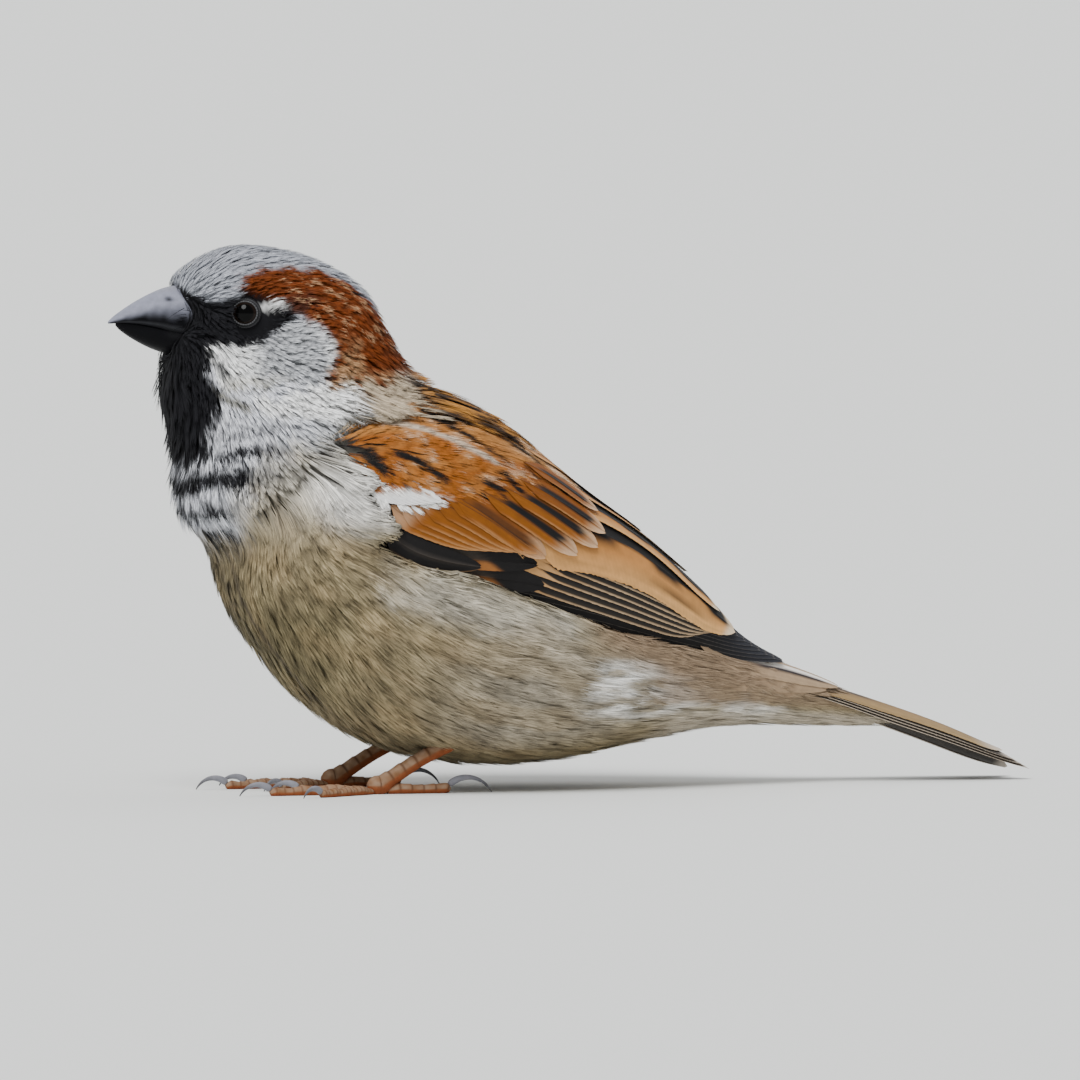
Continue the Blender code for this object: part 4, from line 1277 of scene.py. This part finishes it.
def wing_rows():
    """All large feathers of the left wing, from the deepest to the uppermost."""
    draw = np.random.default_rng(17)
    flight, covert, small = [], [], []
    for i in range(8):  # primaries, the longest lowest and deepest
        f = 1 - i / 7
        root = (3.9 - 0.9 * f, 0.09 - 0.085 * f)
        tip = (6.80 + 1.25 * f, 0.40 - 0.36 * f**1.8)
        height = (-1.0 + 0.05 * i, -0.50 + 0.05 * i)
        flight.append(Feather(
            root, tip, 1.3, 2.4, height, look_primary, bow=-0.02, round_from=0.72, tilt=0.05,
        ))
    for i in range(6):  # secondaries, with their outer edges as a stack of lines
        f = i / 5
        root = (3.3, 0.115 + 0.036 * i)
        tip = (6.34 + 0.10 * i, 0.15 + 0.058 * i)
        height = (-0.62 + 0.06 * i, -0.32 + 0.05 * i)
        bow = -0.03 - 0.012 * f
        flight.append(Feather(root, tip, 1.7, 3.2, height, look_secondary, bow=bow, round_from=0.82))
    tertials = (
        ((3.2, 0.40), (6.86, 0.43), 7.4, 3.4, 0.12, 0.62, 1.0),
        ((3.0, 0.56), (6.45, 0.58), 2.9, 3.2, 0.15, 0.4, 0.0),
        ((2.9, 0.72), (5.75, 0.86), 2.4, 3.0, 0.07, 0.3, 0.0),
        ((2.8, 0.88), (4.95, 1.0), 2.2, 2.6, 0.03, 0.2, 0.0),
    )
    for i, (root, tip, low, high, bow, taper, mark) in enumerate(tertials):
        flight.append(Feather(
            root, tip, low, high, (-0.22 + 0.07 * i, 0.02 + 0.07 * i), look_tertial, bow=bow, round_from=0.76,
            tilt=0.16, mark=mark, taper=taper, tone=0.2 + 0.2 * i,
        ))
    covert += [
        Feather((2.2, 0.02), (3.86, 0.17), 1.3, 1.7, (-0.45, -0.22), look_primary_covert, round_from=0.7),
        Feather((2.3, 0.0), (4.14, 0.08), 1.5, 1.9, (-0.5, -0.18), look_primary_covert, round_from=0.72),
        Feather((1.5, 0.03), (3.24, 0.085), 1.6, 2.0, (-0.35, 0.05), look_alula, bow=-0.02, round_from=0.5),
    ]
    for i in range(6):  # outer greater coverts, plain brown
        f = i / 5
        root, tip = (1.3 + 0.75 * f, 0.09 + 0.23 * f), (3.10 + 0.62 * f, 0.165 + 0.055 * f)
        height = (-0.35 + 0.035 * i, -0.08 + 0.045 * i)
        covert.append(Feather(
            root, tip, 1.6, 2.4, height, look_greater, bow=0.02, round_from=0.62, tone=draw.random(), mark=-f,
        ))
    inner = (
        ((2.15, 0.34), (3.86, 0.215), 1.7, 0.6), ((2.5, 0.42), (4.18, 0.29), 1.5, 1.0),
        ((2.75, 0.49), (4.34, 0.39), 1.5, 1.0), ((2.9, 0.58), (4.32, 0.51), 1.6, 1.0),
        ((2.9, 0.72), (4.1, 0.66), 1.5, 1.0),
    )
    for i, (root, tip, low, mark) in enumerate(inner):  # inner greater coverts, with black centres
        height = (-0.14 + 0.05 * i, 0.19 + 0.05 * i)
        covert.append(Feather(
            root, tip, low, 2.0, height, look_greater, bow=0.015, round_from=0.72, tone=draw.random(),
            mark=mark,
        ))
    for i in range(9):  # median coverts, the white bar
        f = i / 8
        root, tip = (0.3 + 0.95 * f, 0.03 + 0.22 * f), (1.26 + 0.86 * f, 0.09 + 0.19 * f)
        height = (-0.45 + 0.02 * i, -0.12 + 0.02 * i)
        small.append(Feather(root, tip, 0.9, 1.2, height, look_median, round_from=0.3))
    return flight, covert, small


SMALL_WING_FEATHERS = feather_set("small_wing_feather", 4.7, 1.8, 19, 0.9)
SHOULDER_RANGE = ((-0.12, 3.35), (-0.04, 1.16))
# The lowest place where small feathers grow, just over the bar and the greater coverts, and the highest.
SHOULDER_LOW = (
    (-0.4, 0.12), (0.2, 0.01), (0.7, -0.02), (1.0, 0.045), (1.4, 0.135), (1.75, 0.20), (1.95, 0.275),
    (2.3, 0.40), (3.4, 0.66),
)
SHOULDER_HIGH = ((0.4, 1.0), (1.2, 1.12), (3.4, 1.02))


def shoulder_bed(name):
    """Where the small feathers of the wing grow: from the shoulder and the white bar to the tertials."""
    rows, columns = 60, 70
    at, up = grid(rows, columns, *SHOULDER_RANGE[0], *SHOULDER_RANGE[1])
    low, high = (np.interp(at, *zip(*line)) for line in (SHOULDER_LOW, SHOULDER_HIGH))
    cover = 1.0 * (up > low) * (up < high)
    size = 0.75 + 0.35 * smooth(0.5, 2.5, at) * smooth(0.3, 0.7, up)
    size = size - 0.2 * smooth(0.06, 0.0, up - np.interp(at, *zip(*BAR_TOP)))
    lean = np.full(len(at), -0.10)
    faces = grid_faces(rows, columns)
    return bed_mesh(name, wing_surface(at, up), faces, rung=at, angle=up, cover=cover, size=size, lean=lean)


def shoulder_depth(at):
    return np.full(len(at), 0.7)


WING_MARKS = PlumageMap(wing_marks, wing_surface, np.linspace(-0.4, 4.4, 420), np.linspace(-0.1, 1.3, 420))


def make_wings():
    """Both wings: the left one's feathers are laid once, and the right one mirrors them."""
    flight, coverts, bar = (
        [lay_vanes(rows, vane, wing_directions, wing_surface)]
        for rows, vane in zip(wing_rows(), (LONG_VANE, COVERT_VANE, SMALL_VANE))
    )
    for side, mirror in (("left", False), ("right", True)):
        nodes = (f"wing_{side}_flight",)
        declare_vanes(f"flight_feathers_{side}", flight, nodes, mirror)
        nodes = (f"wing_{side}_coverts",)
        declare_vanes(f"wing_coverts_{side}", coverts, nodes, mirror)
        declare_vanes(f"wing_bar_{side}", bar, (), mirror)
        make_coat(
            f"shoulder_feathers_{side}", shoulder_bed("bed"), SHOULDER_RANGE, 0.72, SMALL_WING_FEATHERS,
            "wing_feathers", marks=WING_MARKS, depth=shoulder_depth, lay=lay_on_wing, splay=0.16, seed=21,
            mirror=mirror,
        )


# ---------------------------------------------------------------- the tail

# Ridge (y, z), half width and drop from ridge to edge of the closed tail.
TAIL = np.array((
    (44.0, 14.6, 3.6, 1.2),
    (52.0, 12.8, 4.6, 1.9),
    (60.0, 10.3, 5.2, 2.3),
    (68.0, 7.5, 5.6, 2.2),
    (75.0, 4.6, 5.6, 1.7),
    (79.6, 2.7, 5.0, 1.1),
))


def tail_surface(at, up):
    """The left half of the tail's roof. up is 0 on its edge and 1 on the ridge."""
    y, ridge, width, drop = np.moveaxis(curve_through(TAIL, at), -1, 0)
    t = 1 - up
    z = ridge - drop * np.abs(t) ** 1.3 + 0.036 * width * (1 - t * t)
    return np.stack((t * width, y, z), -1)


tail_directions = directions_on(tail_surface, 2)


def look_rectrix(a, side, tone, mark):
    """Brown tail feather: the middle pair buff with a pale ridge, the others dark with a pale edge."""
    pale = smooth(0.1, -0.8, side) * 0.5 + 0.5 * smooth(0.5, 1.0, a)
    web = blend((0.24, 0.145, 0.058), (0.36, 0.24, 0.10), pale)
    web = web * (0.92 + 0.10 * np.sin(side * 46 + 9 * a))[:, None]
    streak = smooth(0.34, 0.20, np.abs(side - 0.04)) * smooth(0.44, 0.30, a)
    middle = blend(web, (0.030, 0.026, 0.030), 0.95 * streak)
    middle = blend(middle, (0.20, 0.15, 0.11), 0.7 * smooth(0.05, 0.0, np.abs(side)))
    middle = blend(middle, (0.62, 0.56, 0.50), smooth(0.22, 0.36, side) * smooth(0.42, 0.26, a))
    middle = blend(middle, (0.42, 0.32, 0.22), 0.6 * smooth(0.75, 0.95, side) * smooth(0.3, 0.5, a))
    middle = blend(middle, (0.58, 0.50, 0.41), 0.8 * smooth(0.78, 0.95, a))
    edge = smooth(-0.35, -0.55, side)
    outer = blend((0.045, 0.037, 0.030), (0.46, 0.38, 0.29), edge)
    outer = blend(outer, (0.55, 0.48, 0.40), 0.8 * smooth(0.88, 0.97, a))
    return blend(middle, outer, mark)


def tail_rows():
    """Six feathers of the left half, the outermost deepest."""
    rows = []
    for i in range(5, -1, -1):
        f = i / 5
        outer_web = 0.5 if i else 3.6
        step = math.ceil(i / 2) / 3  # the six feathers show as a middle one and three edges
        edge_root, edge_tip = 0.32 - 0.24 * step, 0.28 - 0.27 * step
        mm_root, mm_tip = 3.8, 5.3
        root = (0.25, edge_root + outer_web / mm_root * 0.72)
        tip = (4.5 + 0.6 * f, edge_tip + outer_web / mm_tip)
        inner_web = 2.5 if i == 0 else 3.6
        height = (-0.08 - 0.08 * i, -0.04 - 0.07 * i)
        rows.append(Feather(
            root, tip, outer_web, inner_web, height, look_rectrix, bow=-0.01 * f, round_from=0.80,
            tilt=0.08, tone=0.3 + 0.5 * f, mark=1.0 if i else 0.0,
        ))
    return rows


def look_tail_covert(a, side, tone, mark):
    """Brown with a dark streak, and a thin whitish edge on the one beside the ridge."""
    web = blend((0.30, 0.20, 0.12), (0.42, 0.30, 0.19), tone + 0.3 * side)
    web = web * (0.94 + 0.06 * np.sin(side * 40 + 8 * a))[:, None]
    streak = smooth(-0.30, -0.12, -side) * smooth(0.34, 0.24, -side)
    streak = streak * smooth(0.3, 0.5, a) * smooth(0.97, 0.85, a)
    colour = blend(web, (0.028, 0.025, 0.03), 0.95 * streak * mark)
    edge = smooth(0.24, 0.34, -side) * smooth(0.75, 0.6, -side) * smooth(0.15, 0.35, a)
    return blend(colour, (0.80, 0.75, 0.69), edge * mark)


def tail_covert_rows():
    """The long coverts over the root of the tail, on the body's own surface: at is the rung, up the angle."""
    rows = []
    for i, (angle, end, mark) in enumerate(((1.5, 16.5, 0), (1.15, 16.8, 0), (0.8, 17.0, 1))):
        rows.append(Feather(
            (14.3, angle + 0.1), (end, angle - 0.1), 2.0, 2.2, (-0.5 + 0.15 * i, 0.05 + 0.15 * i),
            look_tail_covert, round_from=0.5, tilt=0.05, tone=0.2 + 0.2 * i, mark=mark,
        ))
    return rows


def body_frame(rung, angle):
    """The body's directions with the second turned upwards, as the wing's and the tail's are."""
    along, around, normal = body_directions(rung, angle)
    return along, -around, normal


def make_tail_coverts():
    laid = lay_vanes(tail_covert_rows(), COVERT_VANE, body_frame, body_surface)
    declare_vanes("tail_covert_vanes", both_halves(*laid, 0.0))


def make_tail():
    """Both halves of the tail. The right half hangs a little lower at its edge."""
    laid = lay_vanes(tail_rows(), LONG_VANE, tail_directions, tail_surface)
    x, y, _ = laid[1].T
    drop = 0.04 + 0.35 * np.abs(x) / 5.5 * smooth(52, 78, y)
    declare_vanes("tail_feathers", both_halves(*laid, drop), ("tail",))


# ---------------------------------------------------------------- the bill

# Distance along the bill, height of the culmen and of the cutting edge, half width at that edge.
UPPER_BILL = np.array((
    (-35.4, 66.6, 59.9, 5.2),
    (-38.1, 66.3, 60.4, 4.1),
    (-40.2, 65.6, 61.0, 3.2),
    (-42.6, 64.4, 61.45, 2.2),
    (-44.8, 63.0, 61.6, 1.25),
    (-45.9, 62.15, 61.5, 0.6),
    (-46.3, 61.75, 61.5, 0.12),
))
# Distance along the bill, height of the cutting edge and of the gonys, half width.
LOWER_BILL = np.array((
    (-35.4, 60.1, 56.8, 4.9),
    (-38.1, 60.6, 57.4, 3.8),
    (-40.4, 61.1, 58.1, 2.9),
    (-42.8, 61.5, 59.3, 1.8),
    (-44.6, 61.6, 60.5, 0.9),
    (-45.3, 61.6, 61.2, 0.2),
))
# The first colour is a painted sheen, a reflection on the bill's black horn; the second is the horn's own
# black.
PAINTED_SHEEN_GREY, HORN_BLACK = (0.235, 0.243, 0.30), (0.003, 0.003, 0.004)


def bill_half(name, table, sign, node):
    """A mandible: a rounded arch over the cutting edge, closed below by a shallow roof."""
    rows, arch, roof = 72, 40, 10
    at = np.linspace(0, len(table) - 1, rows)
    y, first, second, width = np.moveaxis(curve_through(table, at), -1, 0)[..., None]
    ridge, edge = (first, second) if sign > 0 else (second, first)
    theta = np.linspace(0, math.pi, arch + 1)
    x = np.cos(theta)
    under = np.linspace(-1, 1, roof + 1)[1:-1]
    xs = width * np.append(np.sign(x) * np.abs(x) ** 0.82, under * 0.96)
    arch_z = edge + (ridge - edge) * np.sin(theta) ** 0.92
    roof_z = edge + sign * 0.25 * (1 - under**2) * width / 3
    zs = np.hstack((arch_z, roof_z))
    points = np.stack((xs, y + 0 * xs, zs), -1).reshape(-1, 3)
    # The nostril is a small oval pit beside the culmen's root.
    pit = np.exp(-(((points[:, 1] + 38.7) / 0.5) ** 2 + ((points[:, 2] - 64.7) / 0.28) ** 2)) * (sign > 0)
    points[:, 0] -= np.sign(points[:, 0]) * 0.35 * pit
    high = np.clip((zs - edge) / np.maximum(np.abs(ridge - edge), 0.2) * sign, 0, 1).ravel()
    out = points[:, 1]
    if sign > 0:
        # Painted sheen: the top of the upper mandible greyer, and paler still on the ridge near the root.
        shade = smooth(0.22, 0.72, high + 0.03 * wobble(points, 1.4, 51) + 0.10 * smooth(-42, -45, out))
        colour = blend(HORN_BLACK, PAINTED_SHEEN_GREY, shade)
        colour = blend(colour, (0.24, 0.24, 0.26), 0.5 * smooth(0.85, 1.0, high) * smooth(-41, -38, out))
        colour = blend(colour, (0.075, 0.077, 0.085), 0.7 * smooth(0.06, 0.0, np.abs(high - 0.06)))
        colour = blend(colour, (0.004, 0.004, 0.004), pit)
    else:
        # Painted sheen: a faint grey on the lower mandible near the gape.
        colour = blend(HORN_BLACK, (0.016, 0.016, 0.018), smooth(-40, -37.6, out) * smooth(0.5, 0.0, high))
    points, faces = closed_tube(points, rows, xs.shape[1])
    new_piece(name, points, faces, np.vstack((colour, colour[:2])), HORN, "bill", (node,))


def taper_tube(path, radius, sides, squash=1.0):
    """Points of rings along a path, each with its own radius, for grid_faces(..., closed=True)."""
    path = np.asarray(path, float)
    radius = np.broadcast_to(radius, (len(path),))
    forward = unit(np.gradient(path, axis=0))
    side = unit(np.cross(forward, (0.0, 0.0, 1.0)))
    up = np.cross(side, forward)
    angle = 2 * math.pi * (np.arange(sides) + 0.5) / sides
    ring = side[:, None] * np.cos(angle)[None, :, None] * squash + up[:, None] * np.sin(angle)[None, :, None]
    return (path[:, None] + ring * radius[:, None, None]).reshape(-1, 3)


def make_bristles():
    """A few stiff black hairs over the corner of the mouth, both sides."""
    draw = np.random.default_rng(61)
    points, faces, total = [], [], 0
    t = np.linspace(0, 1, 7)[:, None]
    for sign in (1, -1):
        for i in range(9):
            start = np.array((5.0 + 0.2 * draw.normal(), -36.6 + 0.5 * draw.normal(), 63.6 - 0.40 * i))
            reach = np.array((-0.2, -2.4, -1.3)) + (0.3, 0.5, 0.4) * draw.normal(size=3)
            path = start + reach * t + np.array((0.9, 0.0, 0.3)) * np.sin(math.pi * t * 0.8)
            path = path * (sign, 1, 1)
            tube, shape = closed_tube(taper_tube(path, 0.045 * (1.05 - t[:, 0]), 4), 7, 4, total)
            points.append(tube)
            faces += shape
            total += len(tube)
    new_piece("bristles", np.vstack(points), faces, HORN_BLACK, HORN, "head_plumage")


# ---------------------------------------------------------------- the eyes

EYE_AXIS = unit(np.array((0.955, -0.285, 0.08)))
LID_OPENING = math.radians(44)  # from the eye's axis to the lid's rim
LID_SKIN = feather_material("lid_skin", 0.6, 0.0, 0.5)
EYE_GLOSS = eye_material()


def cap(axis, polar, around):
    """Unit directions at angles from an axis and round it."""
    first = unit(np.cross(axis, (0, 0, 1)))
    second = np.cross(first, axis)
    ring = first * np.cos(around)[..., None] + second * np.sin(around)[..., None]
    return axis * np.cos(polar)[..., None] + ring * np.sin(polar)[..., None]


def make_eyeball(side, sign):
    """A black pupil in a deep brown iris with fine rays, under a slightly bulging front."""
    rows, columns = 40, 64
    polar, around = grid(rows, columns, 0.02, math.pi - 0.02, 0, 2 * math.pi, closed=True)
    bulge = 0.22 * np.exp(-((polar / 0.55) ** 2))
    points = EYE_CENTRE + cap(EYE_AXIS, polar, around) * (EYE_RADIUS - 0.28 + bulge)[..., None]
    ball, faces = closed_tube(points, rows, columns)
    angle = np.append(polar, (0.0, math.pi))
    rays = 0.8 + 0.2 * np.sin(np.append(around, (0, 0)) * 24)
    colour = blend((0.001, 0.001, 0.001), (0.012, 0.007, 0.005), smooth(0.50, 0.56, angle)) * rays[:, None]
    new_piece(f"eyeball_{side}", ball * (sign, 1, 1), faces, colour, EYE_GLOSS, "eye", (f"eye_{side}",))


def make_lid(side, sign):
    """A ring of bare skin round the eye, with a beaded rim and a second fainter ridge."""
    rows, columns = 22, 168
    t, around = grid(rows, columns, 0, 1, 0, 2 * math.pi, closed=True)
    polar = LID_OPENING - 0.06 + 0.62 * np.maximum(t - 0.12, 0) + 0.03 * np.cos(2 * around)
    beads = np.abs(np.cos(around * 15)) ** 0.7
    ridge = np.exp(-(((t - 0.20) / 0.065) ** 2))
    second_ridge = np.exp(-(((t - 0.58) / 0.06) ** 2)) * np.abs(np.cos(around * 19 + 0.6)) ** 0.7
    radius = EYE_RADIUS - 0.33 + 0.10 * smooth(0, 0.15, t)
    radius = radius + ridge * (0.03 + 0.13 * beads) + 0.08 * second_ridge + 0.02 * np.sin(around * 41 + 9 * t)
    radius = np.where(t > 0.97, radius - 0.12, radius)
    points = (EYE_CENTRE + cap(EYE_AXIS, polar, around) * radius[..., None]) * (sign, 1, 1)
    grey = blend(BLACK, (0.12, 0.12, 0.125), ridge * (0.15 + 0.85 * beads**2) + 0.5 * second_ridge)
    faces = grid_faces(rows, columns, closed=True)
    new_piece(f"eyelids_{side}", points, faces, grey, LID_SKIN, "eye")


# ---------------------------------------------------------------- legs and feet

FOOT = np.array((9.0, -13.6, 0.0))  # where the toes of the left foot meet
TOES = {  # angle from straight ahead, length, radius, joints, claw's length, start from the foot's middle
    "hind": (176.0, 7.4, 0.78, 1, 6.8, 2.30),
    "inner": (-33.0, 8.6, 0.66, 2, 4.4, 1.90),
    "middle": (-1.0, 12.6, 0.70, 3, 5.0, 1.90),
    "outer": (31.0, 9.4, 0.64, 4, 4.2, 1.90),
}
CLAW_RISE, CLAW_FALL = math.radians(42), math.radians(62)
LEG_BROWN, LEG_PALE, LEG_RED = (0.23, 0.12, 0.06), (0.34, 0.23, 0.155), (0.26, 0.075, 0.028)


def scaled_tube(path, radius, sides, squash, plates, depth, power):
    """A tube with plates across its upper side: each plate overlaps the next with a step."""
    points = taper_tube(path, 1.0, sides, squash).reshape(len(path), sides, 3)
    path = np.asarray(path)
    angle = 2 * math.pi * (np.arange(sides) + 0.5) / sides
    top = smooth(-0.35, 0.2, np.sin(angle))[None, :]
    wave = np.mod(plates, 1)[:, None]
    step = depth * (wave**power - 0.55) * top
    pebble = np.sin(plates[:, None] * 2 * math.pi * 2.5) * np.sin(angle * 9)[None, :]
    pebble = 0.5 * depth * (1 - top) * pebble
    size = radius[:, None] * (1 + step + pebble)
    grooves = smooth(0.16, 0.0, np.minimum(wave, 1 - wave)) * (0.35 + 0.65 * top)
    return path[:, None] + (points - path[:, None]) * size[..., None], top + 0 * wave, grooves


def scale_colours(points, top, groove):
    """Reddish under and brown on top, paler on the scales and dark between them."""
    top = top.ravel()
    shade = blend(LEG_RED, LEG_BROWN, top)
    pale = 0.6 + 0.4 * wobble(points.reshape(-1, 3), 1.5, 71)
    shade = blend(shade, LEG_PALE, 0.75 * smooth(0.5, 1.0, top) * pale)
    return blend(shade, (0.10, 0.04, 0.02), 0.75 * groove.ravel())


def leg_piece(name, points, colours, side, turn, *look):
    """Turns a toe, claw or tarsus made along +Y round the foot and puts it in place."""
    rows, columns = points.shape[:2]
    flat, faces = closed_tube(points.reshape(-1, 3), rows, columns)
    flat[:, 2] = np.maximum(flat[:, 2], 0.0)
    c, s = math.cos(turn), math.sin(turn)
    x, y, z = flat.T
    x, y = c * x - s * y, s * x + c * y
    placed = np.stack(((x + FOOT[0]) * (1 if side == "left" else -1), y + FOOT[1], z), -1)
    new_piece(name, placed, faces, np.vstack((colours, colours[:1], colours[-1:])), *look)


def make_tarsus(side):
    t = np.linspace(-0.09, 1.12, 150)
    size = np.interp(t, (-0.09, -0.065, -0.025, 0.025, 0.08, 0.15, 0.4, 0.7, 0.92, 1.12),
                     (0.35, 0.85, 1.15, 1.17, 1.08, 0.94, 0.86, 0.9, 1.0, 1.2))
    climb = np.maximum(t - 0.03, 0) / 0.97
    height = 1.1 + 6.8 * climb + 0.7 * np.sin(math.pi * np.minimum(climb, 1.15))
    path = np.stack((0 * t, 14.5 * t, height), -1)
    points, top, groove = scaled_tube(path, 1.12 * size, 36, 0.86, 8.5 * (t + 0.1), 0.10, 1.6)
    colours = scale_colours(points, top, groove)
    node = f"tarsus_{side}"
    leg_piece(f"scaled_{node}", points, colours, side, 0.0, LEG_SKIN, "leg_scales", (node,))


def make_toe(side, toe):
    """A toe with a pad under each joint, and its claw."""
    angle, length, radius, joints, claw, start = TOES[toe]
    turn = math.pi + math.radians(angle)
    t = np.linspace(0, 1, 40 + 24 * joints)
    taper = 1 - 0.18 * t - 0.45 * np.maximum(0, 1 - t * length / 1.6)
    pad = 1 + 0.10 * np.cos(2 * math.pi * joints * t)
    size = radius * taper * pad * np.sqrt(np.clip((1 - t) * 14 + 0.3, 0, 1))
    path = np.stack((0 * t, start - 0.9 + t * (length + 0.9 + 0.15), 0.86 * size), -1)
    points, top, groove = scaled_tube(path, size, 28, 1.0, (3.2 * joints + 2) * t, 0.13, 1.5)
    name, node = f"scaled_toe_{side}_{toe}", f"toe_{side}_{toe}"
    leg_piece(name, points, scale_colours(points, top, groove), side, turn, LEG_SKIN, "leg_scales", (node,))
    make_claw(side, toe, turn, claw, start + length + 0.1)


def make_claw(side, toe, turn, length, root):
    """A claw curved on an arc from its root at the toe's end down to the floor."""
    rows, columns = 34, 16
    t = np.linspace(0, 1, rows)
    curve = length / (CLAW_RISE + CLAW_FALL)
    bend = CLAW_RISE - t * (CLAW_RISE + CLAW_FALL)
    drop = curve * (math.cos(CLAW_RISE) - math.cos(CLAW_FALL))
    y = root + curve * (math.sin(CLAW_RISE) - np.sin(bend))
    z = 0.05 + drop + curve * (np.cos(bend) - math.cos(CLAW_RISE))
    size = 0.52 * (1 - 0.88 * t**1.1) * (1 - 0.5 * np.exp(-t * 30))
    tube = taper_tube(np.stack((0 * t, y, z), -1), size, columns, 0.66).reshape(rows, columns, 3)
    horn = blend((0.24, 0.24, 0.27), (0.10, 0.098, 0.105), smooth(0.3, 1.0, np.repeat(t, columns)))
    leg_piece(f"horn_claw_{side}_{toe}", tube, horn, side, turn, HORN, "claw", (f"claw_{side}_{toe}",))


# ---------------------------------------------------------------- the stage


def make_stage():
    """A pale floor, an even pale sky and two soft lamps."""
    mesh = bpy.data.meshes.new("floor")
    half = 30.0
    corners = [(-half, -half, 0), (half, -half, 0), (half, half, 0), (-half, half, 0)]
    mesh.from_pydata(corners, [], [(0, 1, 2, 3)])
    floor = add_object("floor", mesh)
    paper = bpy.data.materials.new("pale_floor")
    paper.use_nodes = True
    shader = paper.node_tree.nodes["Principled BSDF"]
    shader.inputs["Base Color"].default_value = (0.78, 0.79, 0.77, 1)
    shader.inputs["Roughness"].default_value = 0.9
    mesh.materials.append(paper)
    world = bpy.data.worlds.new("studio")
    world.use_nodes = True
    sky = world.node_tree.nodes["Background"]
    sky.inputs["Color"].default_value = (0.95, 0.97, 1.0, 1)
    sky.inputs["Strength"].default_value = 0.5
    bpy.context.scene.world = world
    lamps = (("key", (0.5, -0.5, 1.15), 35, 3.9), ("rim", (-0.7, 0.3, 0.9), 70, 0.8))
    for name, direction, spread, power in lamps:
        lamp = bpy.data.lights.new(name, "SUN")
        lamp.energy = power
        lamp.angle = math.radians(spread)
        light = add_object(name, lamp)
        light.rotation_euler = Vector(direction).to_track_quat("Z", "Y").to_euler()


def make_camera():
    right = Vector((0.342, 0.940, 0)).normalized()
    back = Vector((0.939, -0.342, 0.0437)).normalized()
    up = back.cross(right)
    distance, field = 3.0, 0.1421
    target = right * -0.00418 + up * 0.0324
    data = bpy.data.cameras.new("camera")
    data.lens = data.sensor_width * distance / field
    data.clip_end = 100.0
    camera = add_object("camera", data)
    camera.location = target + back * distance
    camera.rotation_euler = back.to_track_quat("Z", "Y").to_euler()
    bpy.context.scene.camera = camera


make_camera()
make_stage()
make_skin()
make_coats()
make_wings()
make_tail()
make_tail_coverts()
bill_half("upper_mandible", UPPER_BILL, 1, "bill_upper")
bill_half("lower_mandible", LOWER_BILL, -1, "bill_lower")
make_bristles()
for side, sign in (("left", 1), ("right", -1)):
    make_eyeball(side, sign)
    make_lid(side, sign)
for side in ("left", "right"):
    make_tarsus(side)
    for toe in TOES:
        make_toe(side, toe)
